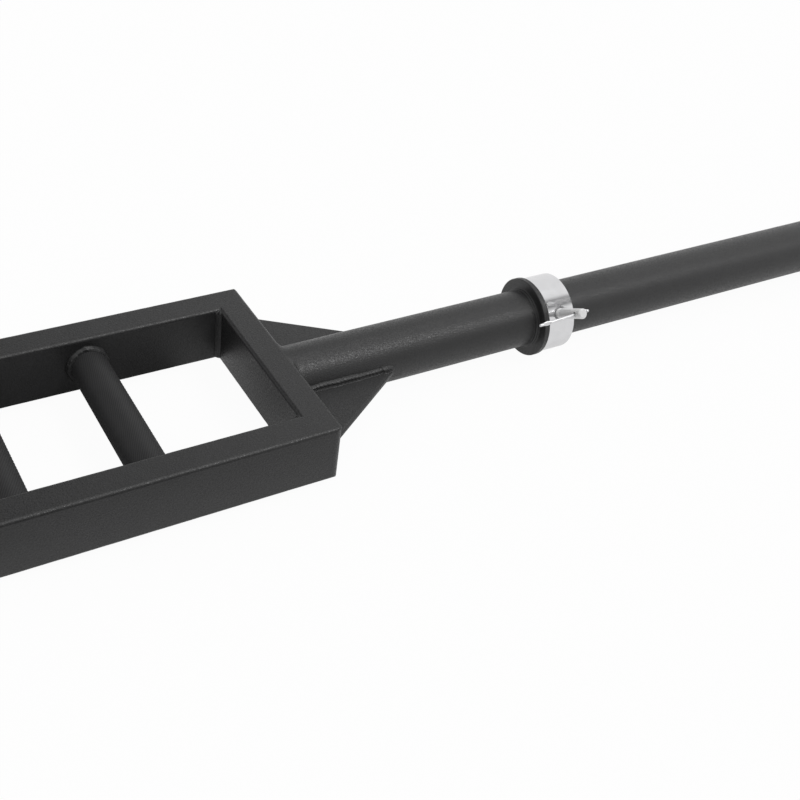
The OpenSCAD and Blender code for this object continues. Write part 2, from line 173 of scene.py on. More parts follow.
class Shell:
    """Closed surfaces, gathered as arrays and turned into one mesh piece."""

    def __init__(self) -> None:
        """Starts with no surface."""
        self._points: list[Array] = []
        self._quads: list[Array] = []
        self._triangles: list[Array] = []
        self._marks: list[Array] = []
        self._count = 0

    def add_grid(self, grid: Array, ring: bool = False, marks: Array | None = None) -> None:
        """Adds a grid of points as one closed surface.

        The columns always close round. The rows join end to end when ring is set, and otherwise
        each end row is closed by a fan to its own middle point. The surface is turned so that its
        enclosed volume, the sum of the signed volumes under its triangles, is positive.

        Args:
            grid: Points as rows, columns and three coordinates, in metres.
            ring: Whether the last row joins the first.
            marks: A value for each grid point, kept as the point attribute "mark".
        """
        rows, columns = grid.shape[:2]
        points = grid.reshape(-1, 3)
        values = np.zeros(len(points)) if marks is None else marks.reshape(-1)
        quads = grid_faces(rows, columns, ring)
        triangles = np.zeros((0, 3), int)
        if not ring:
            first, last = len(points), len(points) + 1
            points = np.concatenate([points, grid[:1].mean(1), grid[-1:].mean(1)])
            values = np.concatenate([values, values[:1], values[-1:]])
            here = np.arange(columns)
            beside = (here + 1) % columns
            start = np.stack([np.full(columns, first), beside, here], -1)
            final = np.stack([np.full(columns, last), here, beside], -1)
            final[:, 1:] += (rows - 1) * columns
            triangles = np.concatenate([start, final])
        corners = np.concatenate([quads[:, :3], quads[:, [0, 2, 3]], triangles])
        a, b, c = (points[corners[:, k]] for k in range(3))
        if np.einsum("ij,ij->", a, np.cross(b, c)) < 0:
            quads, triangles = quads[:, ::-1], triangles[:, ::-1]
        self._points.append(points)
        self._marks.append(values)
        self._quads.append(quads + self._count)
        self._triangles.append(triangles + self._count)
        self._count += len(points)

    def piece(self, name: str, crease: float = CREASE) -> bpy.types.Object:
        """Makes the mesh object of everything added so far.

        Args:
            name: Name of the piece.
            crease: Angle between faces above which an edge stays sharp.

        Returns:
            The new object, at the origin with its place in its mesh.
        """
        points = np.concatenate(self._points)
        quads, triangles = np.concatenate(self._quads), np.concatenate(self._triangles)
        mesh = bpy.data.meshes.new(name)
        mesh.vertices.add(len(points))
        mesh.vertices.foreach_set("co", points.astype(np.float32).ravel())
        corners = np.concatenate([quads.ravel(), triangles.ravel()])
        starts = np.concatenate([
            np.arange(len(quads)) * 4,
            len(quads) * 4 + np.arange(len(triangles)) * 3,
        ])
        mesh.loops.add(len(corners))
        mesh.loops.foreach_set("vertex_index", corners.astype(np.int32))
        mesh.polygons.add(len(starts))
        mesh.polygons.foreach_set("loop_start", starts.astype(np.int32))
        mesh.update(calc_edges=True)
        mesh.validate()
        mark = mesh.attributes.new("mark", "FLOAT", "POINT")
        mark.data.foreach_set("value", np.concatenate(self._marks).astype(np.float32))
        mesh.shade_smooth()
        mesh.set_sharp_from_angle(angle=crease)
        piece = bpy.data.objects.new(name, mesh)
        bpy.context.scene.collection.objects.link(piece)
        return piece


def one_piece(
    name: str,
    grid: Array,
    ring: bool = False,
    marks: Array | None = None,
    crease: float = CREASE,
) -> bpy.types.Object:
    """Makes a piece of a single grid.

    Args:
        name: Name of the piece.
        grid: Points as rows, columns and three coordinates, in metres.
        ring: Whether the last row joins the first.
        marks: A value for each grid point, or None.
        crease: Angle between faces above which an edge stays sharp.

    Returns:
        The new object.
    """
    shell = Shell()
    shell.add_grid(grid, ring, marks)
    return shell.piece(name, crease)


def wobble(turns: Array, seed: int, slowest: int, waves: int = 4) -> Array:
    """A smooth uneven line that closes on itself.

    It is the sum of sine waves of whole numbers of periods, the first with slowest periods and
    each next one with as many more, with seeded random phases and heights, scaled to about -1
    to 1.

    Args:
        turns: Place along the line, from 0 to 1.
        seed: Seed of the random phases.
        slowest: Number of periods of the slowest wave.
        waves: Number of waves.

    Returns:
        The uneven value at each place.
    """
    usual_reach = 1.4
    chance = np.random.default_rng(seed)
    total = np.zeros_like(turns)
    for k in range(1, waves + 1):
        phase, height = chance.uniform(0, WHOLE), chance.uniform(0.5, 1)
        total += height / k * np.sin(WHOLE * slowest * k * turns + phase)
    return total / usual_reach


def smooth_step(value: Array, low: float, high: float) -> Array:
    """Rises from 0 at low to 1 at high along 3t^2 - 2t^3."""
    t = np.clip((value - low) / (high - low), 0, 1)
    return t * t * (3 - 2 * t)


def round_back(depth: Array, radius: float) -> Array:
    """How far a round of the radius r lies back at a depth d into it: r - sqrt(r^2 - d^2)."""
    return radius - np.sqrt(radius**2 - depth**2)


HOLLOW_TOE: Outline = (
    (1.0, 0.0), (0.97, 0.06), (0.90, 0.10), (0.78, 0.11), (0.56, 0.19), (0.34, 0.36),
    (0.16, 0.60), (0.05, 0.84), (0.0, 1.0),
)
ROLLED_LIP: Outline = (
    (1.0, 0.0), (0.95, 0.07), (0.88, 0.09), (0.80, 0.07), (0.66, 0.04), (0.56, 0.07), (0.56, 0.26),
    (0.57, 0.44), (0.52, 0.62), (0.40, 0.78), (0.22, 0.92), (0.0, 1.0),
)
TWO_STEPS: Outline = (
    (1.0, 0.0), (0.75, 0.03), (0.58, 0.08), (0.50, 0.14), (0.47, 0.24), (0.43, 0.33), (0.30, 0.42),
    (0.17, 0.55), (0.13, 0.64), (0.125, 0.80), (0.11, 0.92), (0.06, 0.98), (0.0, 1.0),
)


@dataclass(frozen=True)
class Bead:
    """Form of a hand-laid weld bead: lengths in metres, heights as shares of its size."""

    leg: float = 3.0 * MM
    crown: float = 0.55
    ripple_pitch: float = 1.9 * MM
    ripple_height: float = 0.04
    ripple_bow: float = 0.8
    ripple_edge: float = 0.35
    ripple_drift: float = 0.0
    outline: Outline = ()
    passes: float = 2.0
    pass_height: float = 0.04
    pass_wander: float = 0.25
    unevenness: float = 0.10
    sunk: float = 0.35 * MM
    bite: float = 0.1 * MM
    arc_points: int = 15
    points_per_ripple: int = 6
    fewest_steps: int = 12

    DRIFT_SEED = 300
    WANDER_SEED = 500
    SECOND_LEG_SEED = 900
    SLOW_WAVES = 3
    SWELL_WAVES = 4

    def steps(self, length: float) -> int:
        """Number of rows that resolves the ripples over a length."""
        ripples = int(round(length / self.ripple_pitch))
        return max(self.fewest_steps, ripples * self.points_per_ripple)

    def section(
        self, along: Array, seed: int, legs_a: Array, legs_b: Array
    ) -> tuple[Array, Array]:
        """The bead's section at each place along it.

        The outer line runs from one leg to the other through the outline's points, given as
        shares of the two legs, or without them as a mix of the straight chord and a quarter
        ellipse, crown giving the share of the ellipse. Its size is multiplied by a ripple, a
        rounded saw-tooth of the distance along the bead whose front slants and whose pitch
        drifts, by ridges that run along the bead and wander over its face, and by a slow
        unevenness. Two points at the legs and one in the corner close the section inside the
        metal.

        Args:
            along: Distance along the bead at each row.
            seed: Seed of the unevenness.
            legs_a: Leg length towards the first side at each row.
            legs_b: Leg length towards the second side at each row.

        Returns:
            Distances towards the first and towards the second side, as rows and section points.
        """
        turn = np.linspace(0, QUARTER, self.arc_points)[None, :]
        share = turn / QUARTER
        if self.outline:
            knots = np.linspace(0, 1, len(self.outline))
            a, b = (np.interp(share, knots, shares) for shares in np.array(self.outline).T)
        else:
            a = self.crown * np.cos(turn) + (1 - self.crown) * (1 - share)
            b = self.crown * np.sin(turn) + (1 - self.crown) * share
        whole = along / max(along[-1], self.ripple_pitch)
        bow = self.ripple_bow * np.sin(2 * turn - QUARTER)
        drift = self.ripple_drift * wobble(whole, seed + self.DRIFT_SEED, self.SLOW_WAVES)[:, None]
        phase = WHOLE * along[:, None] / self.ripple_pitch + bow + drift
        ripple = np.sin(phase) + self.ripple_edge * np.sin(2 * phase)
        wander = self.pass_wander * wobble(whole, seed + self.WANDER_SEED, self.SLOW_WAVES)[:, None]
        ridges = np.sin(WHOLE * (self.passes * share + wander)) * np.sin(math.pi * share)
        size = 1 + self.ripple_height * ripple + self.pass_height * ridges
        second = seed + self.SECOND_LEG_SEED
        swell_a = 1 + self.unevenness * wobble(whole, seed, self.SWELL_WAVES)
        swell_b = 1 + self.unevenness * wobble(whole, second, self.SLOW_WAVES)
        outer_a = a * size * swell_a[:, None] * legs_a[:, None]
        outer_b = b * size * swell_b[:, None] * legs_b[:, None]
        deep = np.full((len(along), 1), -self.sunk)
        section_a = np.concatenate([outer_a[:, :1], outer_a, deep, deep], 1)
        section_b = np.concatenate([deep, outer_b, outer_b[:, -1:], deep], 1)
        return section_a, section_b

    def grid(
        self,
        path: Array,
        towards_a: Array,
        towards_b: Array,
        seed: int,
        legs_a: Array,
        legs_b: Array,
        ring: bool = False,
    ) -> Array:
        """Carries the section along the corner between two surfaces.

        Each point is the path's point plus the section's two distances, the first along the first
        side's direction and the second along the second's. On a closed path the distance along it
        is scaled so that a whole number of ripples fits.

        Args:
            path: Points of the corner line, in metres.
            towards_a: Unit direction of the first side, the same all along or at each point.
            towards_b: Unit direction of the second side, likewise.
            seed: Seed of the unevenness.
            legs_a: Leg length towards the first side at each point.
            legs_b: Leg length towards the second side at each point.
            ring: Whether the path closes on itself.

        Returns:
            The grid of points, as rows, section points and coordinates.
        """
        step = np.linalg.norm(np.diff(path, axis=0), axis=1)
        along = np.concatenate([[0], np.cumsum(step)])
        if ring:
            whole = along[-1] + np.linalg.norm(path[0] - path[-1])
            ripples = max(1, round(whole / self.ripple_pitch))
            along = along / whole * ripples * self.ripple_pitch
        a, b = self.section(along, seed, legs_a, legs_b)
        side_a, side_b = (
            np.broadcast_to(towards, path.shape)[:, None] for towards in (towards_a, towards_b)
        )
        return path[:, None] + a[..., None] * side_a + b[..., None] * side_b

    def round_tube(
        self, centre: Array, start: Array, off_face: Array, radius: float, spread: float, seed: int
    ) -> Array:
        """Carries the section round a tube that stands upright on a flat face.

        The path is the circle centre + r (cos t start + sin t Z), r being the tube's radius less
        the depth by which the bead bites into it.

        Args:
            centre: Where the tube's axis meets the face.
            start: Unit direction of the angle zero, level and along the face.
            off_face: Unit direction away from the face.
            radius: Radius of the tube.
            spread: Leg length along the tube.
            seed: Seed of the unevenness.

        Returns:
            The grid of points, whose rows close round.
        """
        count = self.steps(WHOLE * radius)
        turn = np.linspace(0, WHOLE, count, endpoint=False)[:, None]
        outward = np.cos(turn) * start + np.sin(turn) * Z_AXIS
        path = centre + (radius - self.bite) * outward
        legs = np.full(count, self.leg), np.full(count, spread)
        return self.grid(path, outward, off_face, seed, *legs, ring=True)


class NodeBench:
    """Lays nodes out in one node tree and joins their sockets."""

    COLUMN_WIDTH = 220

    def __init__(self, tree: bpy.types.NodeTree) -> None:
        """Takes the tree to work in."""
        self.tree = tree
        self._column = 0

    @classmethod
    def fresh(cls, owner: bpy.types.Material | bpy.types.World) -> "NodeBench":
        """Turns on the nodes of a material or a world and starts from none.

        Args:
            owner: The material or world.

        Returns:
            The bench on its tree.
        """
        owner.use_nodes = True
        owner.node_tree.nodes.clear()
        return cls(owner.node_tree)

    def node(self, kind: str, inputs: dict | None = None, **settings: object) -> bpy.types.Node:
        """Adds a node.

        Args:
            kind: The node's type name.
            inputs: Input name or number to a value, or to an output socket to join.
            **settings: Properties of the node.

        Returns:
            The new node.
        """
        made = self.tree.nodes.new(kind)
        made.location = (self.COLUMN_WIDTH * self._column, 0)
        self._column += 1
        for name, value in settings.items():
            setattr(made, name, value)
        for key, value in (inputs or {}).items():
            if isinstance(value, Socket):
                self.tree.links.new(value, made.inputs[key])
            else:
                made.inputs[key].default_value = value
        return made

    def maths(self, operation: str, first: object, second: object = 0.0) -> Socket:
        """Adds a Math node and returns its output."""
        return self.node("ShaderNodeMath", {0: first, 1: second}, operation=operation).outputs[0]

    def noise(self, place: Socket, scale: object, detail: float, rough: float = 0.5) -> Socket:
        """Adds a noise texture and returns its value."""
        inputs = {"Vector": place, "Scale": scale, "Detail": detail, "Roughness": rough}
        return self.node("ShaderNodeTexNoise", inputs).outputs["Fac"]

    def ramp(
        self,
        value: object,
        from_range: tuple[float, float] = (0.0, 1.0),
        to_range: tuple[float, float] = (0.0, 1.0),
        kind: str = "LINEAR",
    ) -> Socket:
        """Adds a Map Range node.

        Args:
            value: The value or the socket to map.
            from_range: What is mapped to the ends of the other range.
            to_range: Results at those ends.
            kind: The node's interpolation.

        Returns:
            Its output.
        """
        labels = ("From Min", "From Max", "To Min", "To Max")
        inputs = {"Value": value, **dict(zip(labels, (*from_range, *to_range)))}
        return self.node("ShaderNodeMapRange", inputs, interpolation_type=kind).outputs["Result"]


class EffectGroup:
    """A shader node group with named inputs and outputs."""

    def __init__(self, name: str, numbers: dict[str, float], outputs: tuple[str, ...]) -> None:
        """Makes the group with its sockets.

        Args:
            name: Name of the group.
            numbers: Input names and their default values.
            outputs: Names of the value outputs.
        """
        self.tree = bpy.data.node_groups.new(name, "ShaderNodeTree")
        for label, value in numbers.items():
            socket = self.tree.interface.new_socket(
                label, in_out="INPUT", socket_type="NodeSocketFloat"
            )
            socket.default_value = value
        for label in outputs:
            self.tree.interface.new_socket(label, in_out="OUTPUT", socket_type="NodeSocketFloat")
        self.bench = NodeBench(self.tree)
        self.inputs = self.bench.node("NodeGroupInput").outputs
        self.result = self.bench.node("NodeGroupOutput").inputs

    def give(self, **results: Socket) -> bpy.types.NodeTree:
        """Joins sockets to the group's outputs.

        Args:
            **results: Sockets under the names of the outputs they join.

        Returns:
            The group's tree.
        """
        for label, socket in results.items():
            self.tree.links.new(socket, self.result[label])
        return self.tree


def powder_group() -> bpy.types.NodeTree:
    """Builds the look of baked powder: orange peel, pimples, pin-point glints, cloudy tone.

    Returns:
        The group. Its inputs are Grain and Peel, the size of a pimple and of a wave of the orange
        peel in metres, and Fine, the share of the pimples in the height. Its outputs are Height,
        Tone, Glint and Sheen, the last following the pimples, each from 0 to about 1.
    """
    cloud_scale, speck_reach = 60.0, 0.28
    numbers = {"Grain": 0.6 * MM, "Peel": 3.0 * MM, "Fine": 0.1}
    group = EffectGroup("powder_texture", numbers, ("Height", "Tone", "Glint", "Sheen"))
    bench = group.bench
    place = bench.node("ShaderNodeTexCoord").outputs["Object"]
    fine = bench.maths("DIVIDE", 1.0, group.inputs["Grain"])
    broad = bench.maths("DIVIDE", 1.0, group.inputs["Peel"])
    pimples = bench.noise(place, fine, detail=1.0)
    peel = bench.noise(place, broad, detail=2.0, rough=0.6)
    specks = bench.node("ShaderNodeTexVoronoi", {"Vector": place, "Scale": fine})
    grain = bench.maths("MULTIPLY", pimples, group.inputs["Fine"])
    return group.give(
        Height=bench.maths("ADD", peel, grain),
        Tone=bench.noise(place, cloud_scale, detail=4.0),
        Glint=bench.ramp(specks.outputs["Distance"], (speck_reach, 0.0)),
        Sheen=pimples,
    )


def turned_group() -> bpy.types.NodeTree:
    """Builds the fine lines that a lathe leaves: noise drawn out round the work, tight along it.

    Returns:
        The group. Its inputs are Line, the width of a line in metres, Along, the length of a line
        in metres, and Lean and Across, the turns in radians about X and then about Z after which
        the lines lie across X. Its outputs are Height and Tone, each from 0 to 1.
    """
    cloud_scale = 120.0
    numbers = {"Line": 0.2 * MM, "Along": 20 * MM, "Lean": 0.0, "Across": 0.0}
    group = EffectGroup("turned_lines", numbers, ("Height", "Tone"))
    bench = group.bench
    place = bench.node("ShaderNodeTexCoord").outputs["Object"]
    turned = place
    for label, axis in (("Lean", "X_AXIS"), ("Across", "Z_AXIS")):
        inputs = {"Vector": turned, "Angle": group.inputs[label]}
        turned = bench.node("ShaderNodeVectorRotate", inputs, rotation_type=axis).outputs["Vector"]
    tight = bench.maths("DIVIDE", 1.0, group.inputs["Line"])
    drawn = bench.maths("DIVIDE", 1.0, group.inputs["Along"])
    stretch = bench.node("ShaderNodeCombineXYZ", {"X": tight, "Y": drawn, "Z": drawn})
    inputs = {0: turned, 1: stretch.outputs["Vector"]}
    scaled = bench.node("ShaderNodeVectorMath", inputs, operation="MULTIPLY")
    return group.give(
        Height=bench.noise(scaled.outputs[0], scale=1.0, detail=2.0),
        Tone=bench.noise(place, cloud_scale, detail=3.0),
    )


class Masks(NamedTuple):
    """What a finish takes from its effect group."""

    blend: Socket
    sheen: Socket
    height: Socket


@dataclass(frozen=True)
class MetalFinish:
    """A coat or plate: two colours blended by a mask, a range of roughness and a fine relief."""

    name: str
    slot: str
    dark: Colour
    light: Colour
    roughness: tuple[float, float]
    relief: float

    SHEEN_RANGE = (0.0, 1.0)

    def masks(self, bench: NodeBench, groups: dict[str, bpy.types.NodeTree]) -> Masks:
        """Places the finish's effect group with its own values."""
        raise NotImplementedError

    def plain(self) -> dict[str, float]:
        """The shader's inputs that are the same all over."""
        raise NotImplementedError

    def build(self, groups: dict[str, bpy.types.NodeTree]) -> bpy.types.Material:
        """Builds the material.

        Args:
            groups: The shared effect groups by name.

        Returns:
            The material.
        """
        material = bpy.data.materials.new(self.name)
        bench = NodeBench.fresh(material)
        masks = self.masks(bench, groups)
        colours = {"Factor": masks.blend, 6: (*self.dark, 1), 7: (*self.light, 1)}
        bump = {"Strength": 1.0, "Distance": self.relief, "Height": masks.height}
        shader = bench.node("ShaderNodeBsdfPrincipled", {
            "Base Color": bench.node("ShaderNodeMix", colours, data_type="RGBA").outputs[2],
            "Roughness": bench.ramp(masks.sheen, self.SHEEN_RANGE, self.roughness),
            "Normal": bench.node("ShaderNodeBump", bump).outputs["Normal"],
            **self.plain(),
        })
        bench.node("ShaderNodeOutputMaterial", {"Surface": shader.outputs["BSDF"]})
        return material


@dataclass(frozen=True)
class PowderFinish(MetalFinish):
    """Baked black powder coat over steel."""

    dark: Colour = (0.0100, 0.0100, 0.0103)
    light: Colour = (0.0240, 0.0240, 0.0247)
    roughness: tuple[float, float] = (0.29, 0.58)
    relief: float = 0.20 * MM
    grain: float = 1.3 * MM
    peel: float = 1.1 * MM
    fine: float = 0.12
    specular: float = 0.49
    # Share of the mesh's mark in the blend: painted light on the knurl's crests, painted shade in
    # its grooves
    worn_mark: float = 0.0
    cloud_share: float = 0.6
    glint_share: float = 0.5

    SHEEN_RANGE = (0.3, 0.7)

    def masks(self, bench: NodeBench, groups: dict[str, bpy.types.NodeTree]) -> Masks:
        """Blends the colours by clouds, glints and the mark, which paints lit crests and shaded
        grooves.

        Args:
            bench: The material's bench.
            groups: The shared effect groups by name.

        Returns:
            The masks.
        """
        sizes = {"Grain": self.grain, "Peel": self.peel, "Fine": self.fine}
        powder = bench.node("ShaderNodeGroup", sizes, node_tree=groups["powder"]).outputs
        blend = bench.maths("MULTIPLY", powder["Tone"], self.cloud_share)
        glint = bench.maths("MULTIPLY", powder["Glint"], self.glint_share)
        blend = bench.maths("ADD", blend, glint)
        # Painted light and shade: the mark lightens the knurl's crests, and its grooves stay dark
        if self.worn_mark:
            mark = bench.node("ShaderNodeAttribute", attribute_name="mark").outputs["Fac"]
            blend = bench.maths("ADD", blend, bench.maths("MULTIPLY", mark, self.worn_mark))
        return Masks(blend, powder["Sheen"], powder["Height"])

    def plain(self) -> dict[str, float]:
        """The specular level, the same all over."""
        return {"Specular IOR Level": self.specular}


@dataclass(frozen=True)
class PlatedFinish(MetalFinish):
    """Zinc plate or bright steel over lathe-turned metal."""

    dark: Colour = (0.62, 0.62, 0.63)
    light: Colour = (0.71, 0.71, 0.72)
    roughness: tuple[float, float] = (0.11, 0.17)
    relief: float = 0.004 * MM
    line: float = 0.25 * MM
    along: float = 18 * MM
    lean: float = 0.0
    across: float = 0.0
    metallic: float = 1.0

    def masks(self, bench: NodeBench, groups: dict[str, bpy.types.NodeTree]) -> Masks:
        """Blends the colours by the clouds; the turned lines give the sheen and the relief.

        Args:
            bench: The material's bench.
            groups: The shared effect groups by name.

        Returns:
            The masks.
        """
        sizes = {
            "Line": self.line, "Along": self.along, "Lean": self.lean, "Across": self.across,
        }
        turned = bench.node("ShaderNodeGroup", sizes, node_tree=groups["turned"]).outputs
        return Masks(turned["Tone"], turned["Height"], turned["Height"])

    def plain(self) -> dict[str, float]:
        """How metallic the plate is, the same all over."""
        return {"Metallic": self.metallic}


# Turn about X of the faint pattern on the screws
SCREW_LEAN = -math.radians(33)


class Finish(Enum):
    """Every finish on the bar."""

    POWDER = PowderFinish("black_powder_coat", "powder_black")
    WELD = PowderFinish(
        "powder_on_weld", "weld_black", grain=0.5 * MM, peel=1.3 * MM, relief=0.15 * MM,
    )
    # The knurl's mark paints light on its crests and shade in its grooves
    KNURL = PowderFinish(
        "powder_on_knurl", "knurl_black",
        dark=(0.0100, 0.0100, 0.0102), light=(0.0320, 0.0320, 0.0328), roughness=(0.56, 0.66),
        grain=0.35 * MM, relief=0.03 * MM, specular=0.28, worn_mark=0.9,
    )
    PLUG = PowderFinish(
        "moulded_black_plastic", "plug_plastic",
        grain=0.3 * MM, peel=0.9 * MM, relief=0.02 * MM, roughness=(0.5, 0.62),
    )
    RING = PlatedFinish("zinc_on_ring", "ring_zinc")
    SCREW = PlatedFinish(
        "zinc_on_screw", "screw_zinc",
        dark=(0.66, 0.66, 0.66), light=(0.86, 0.86, 0.86), roughness=(0.35, 0.50), metallic=0.45,
        line=0.5 * MM, along=0.8 * MM, relief=0.02 * MM, lean=SCREW_LEAN, across=QUARTER,
    )
    ROD = PlatedFinish(
        "plated_wire_rod", "rod_steel",
        roughness=(0.34, 0.44), line=1.2 * MM, along=0.4 * MM, relief=0.003 * MM,
    )


class Wardrobe:
    """Holds the built materials and puts them on pieces."""

    def __init__(self) -> None:
        """Builds the shared groups and then every finish once."""
        groups = {"powder": powder_group(), "turned": turned_group()}
        self._materials = {finish: finish.value.build(groups) for finish in Finish}

    def dress(self, piece: bpy.types.Object, finish: Finish) -> None:
        """Gives a new piece or a node one finish.

        Args:
            piece: The piece, or the node's object, whose material slots are filled.
            finish: Its finish.
        """
        material = self._materials[finish]
        if piece.material_slots:
            for slot in piece.material_slots:
                slot.material = material
        else:
            piece.data.materials.append(material)

    def dress_node(self, node: str, finish: Finish) -> None:
        """Gives a node of the frame one finish and reports it."""
        self.dress(frame["nodes"][node], finish)
        LOG.info("dressed node %s with %s", node, finish.value.name)

    def hand_over(self, piece: bpy.types.Object, node: str, finish: Finish) -> None:
        """Dresses a new piece that stands for a node and rides on that node's body.

        Args:
            piece: The new piece.
            node: Name of the node that it stands for.
            finish: Its finish.
        """
        self.dress(piece, finish)
        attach(piece, frame["nodes"][node]["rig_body"])
        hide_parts(node)
        LOG.info("piece %s for %s: %d faces", piece.name, node, len(piece.data.polygons))


@dataclass
class Grip:
    """One knurled grip tube."""

    node: str
    knurl_pitch: float = 2.0 * MM
    knurl_depth: float = 0.40 * MM
    helix: float = math.radians(30)
    wall: float = 3.0 * MM

    def build(self) -> bpy.types.Object:
        """Builds the tube with a diamond knurl.

        Two families of grooves cross at the helix angle. With half a pitch between grid points,
        points whose row and column numbers add up to an odd number are peaks of the diamonds, and
        the others are where grooves cross. Two more rows, back along the bore, close the wall.

        Returns:
            The piece.
        """
        low, high = box_of(self.node)
        radius = float(high[0] - low[0]) / 2
        middle = (low + high) / 2
        around = 4 * round(math.pi * radius / self.knurl_pitch)
        rows = 2 * round(float(high[1] - low[1]) / self.knurl_pitch * math.tan(self.helix)) + 1
        column = np.arange(around)[None, :]
        peak = (np.arange(rows)[:, None] + column) % 2
        reach = radius - self.knurl_depth * (1 - peak)
        reach[[0, -1]] = radius - self.knurl_depth
        reach = np.concatenate([reach, np.full((2, around), radius - self.wall)])
        place = np.concatenate([np.linspace(low[1], high[1], rows), [high[1], low[1]]])
        # The peaks' mark, which the knurl's finish turns into painted light on the crests and
        # painted shade in the grooves
        marks = np.concatenate([peak.astype(float), np.zeros((2, around))])
        turn = WHOLE * column / around
        grid = np.stack([
            middle[0] + reach * np.cos(turn),
            np.broadcast_to(place[:, None], reach.shape),
            middle[2] + reach * np.sin(turn),
        ], -1)
        return one_piece("knurled_" + self.node, grid, True, marks, SOFT_CREASE)


@dataclass
class Rail:
    """One rail of rectangular tube, mitred at both ends, with its outer corners ground round."""

    node: str
    datum: Datum
    wall: float = 2.5 * MM
    edge_round: float = 2.8 * MM
    bore_round: float = 0.8 * MM
    support: float = 0.25 * MM
    corner_round: float = 6.0 * MM
    edge_wear: float = 0.10 * MM
    wear_pitch: float = 9.0 * MM
    wear_waves: int = 3
    worn_until: tuple[float, float] = (0.9, 0.98)
    arc_steps: int = 8
    rows_at_end: int = 13
    rows_between: int = 60

    def loop(self, width: float, height: float, radius: float) -> tuple[Array, Array, Array]:
        """A rectangle with rounded corners, walked once round.

        Each corner is a quarter circle, with one more point on the flat side just before it and
        one just after it, so that smooth shading leaves the flat sides flat.

        Args:
            width: Size across the rail.
            height: Size upwards.
            radius: Radius of the corners.

        Returns:
            Distances across and upwards from the middle, and how near each point is to the middle
            of a corner's arc, from 0 to 1.
        """
        across, up, near = [], [], []
        for quarter, (side_a, side_b) in enumerate(((1, 1), (-1, 1), (-1, -1), (1, -1))):
            turn = QUARTER * (quarter + np.linspace(0, 1, self.arc_steps + 1))
            a = side_a * (width / 2 - radius) + radius * np.cos(turn)
            b = side_b * (height / 2 - radius) + radius * np.sin(turn)
            before = self.support * np.array([np.sin(turn[0]), -np.cos(turn[0])])
            after = self.support * np.array([-np.sin(turn[-1]), np.cos(turn[-1])])
            across.extend([a[0] + before[0], *a, a[-1] + after[0]])
            up.extend([b[0] + before[1], *b, b[-1] + after[1]])
            near.extend([0.0, *np.sin(np.linspace(0, math.pi, self.arc_steps + 1)), 0.0])
        return np.array(across), np.array(up), np.array(near)

    def places(self, length: float) -> Array:
        """Places of the sections, closer together near the ends.

        Args:
            length: Half the rail's length.

        Returns:
            The places as shares of the half length, from -1 to 1.
        """
        close = length - np.linspace(0, 2 * self.corner_round, self.rows_at_end)
        apart = np.linspace(0, length - 2 * self.corner_round, self.rows_between)
        half = np.unique(np.concatenate([close, apart]))
        return np.concatenate([-half[::-1], half[1:]]) / length

    def wear(self, place: Array, near: Array, length: float) -> Array:
        """Depth of the wear on the long edges.

        It is greatest at 45 degrees, uneven along the rail, and fades out before the corners.

        Args:
            place: Place of each section as a share of the half length, as a column.
            near: How near each point of the loop is to the middle of an arc.
            length: Half the rail's length.

        Returns:
            The depth along each of the two directions, as sections and loop points.
        """
        seed = sum(ord(letter) for letter in self.node)
        slowest = max(self.wear_waves, round(length / self.wear_pitch))
        uneven = (1 + wobble((place + 1) / 2, seed, slowest, self.wear_waves)) / 2
        fade = 1 - smooth_step(np.abs(place), *self.worn_until)
        return self.edge_wear * uneven * near[None, :] * fade * math.sqrt(0.5)

    def grind(self, along: Array, out: Array, length: float, outer: float) -> tuple[Array, Array]:
        """Grinds the upright corners round.

        In plan, a point beyond the corner's centre and more than the corner's radius from it is
        drawn back onto that radius.

        Args:
            along: Distance of each point along the rail from its middle.
            out: Distance of each point from the frame's middle.
            length: Half the rail's length.
            outer: Distance of the rail's outer face from the frame's middle.

        Returns:
            The two distances after grinding.
        """
        past_end = np.clip(np.abs(along) - (length - self.corner_round), 0, None)
        past_out = np.clip(out - (outer - self.corner_round), 0, None)
        reach = np.maximum(np.hypot(past_end, past_out), MM)
        beyond = (past_end > 0) & (past_out > 0)
        pull = np.where(beyond, np.minimum(1, self.corner_round / reach), 1)
        return along - np.sign(along) * past_end * (1 - pull), out - past_out * (1 - pull)

    def build(self) -> bpy.types.Object:
        """Builds the rail: its outer skin, then its bore walked back the other way.

        A section at a distance u from the rail's outer side ends at L - u, L being half the rail's
        length, which gives the mitre.

        Returns:
            The piece.
        """
        low, high = box_of(self.node)
        size, middle = high - low, (low + high) / 2
        run, aside = (0, 1) if size[0] > size[1] else (1, 0)
        length = (self.datum.end_face_x, self.datum.rail_outer_y)[run]
        width, height = float(size[aside]), float(size[2])
        outer = float(max(abs(low[aside]), abs(high[aside])))
        skins = []
        for inner in (False, True):
            wall, radius = (self.wall, self.bore_round) if inner else (0.0, self.edge_round)
            across, up, near = self.loop(width - 2 * wall, height - 2 * wall, radius)
            place = self.places(length)[:, None]
            place = place[::-1] if inner else place
            wear = 0.0 if inner else self.wear(place, near, length)
            across, up = across - wear * np.sign(across), up - wear * np.sign(up)
            depth = width / 2 - across
            along, out = self.grind(place * (length - depth), outer - depth, length, outer)
            points = np.zeros((*along.shape, 3))
            points[..., run] = along
            points[..., aside] = np.sign(middle[aside]) * out
            points[..., 2] = middle[2] + up
            skins.append(points)
        return one_piece("mitred_" + self.node, np.concatenate(skins), ring=True)


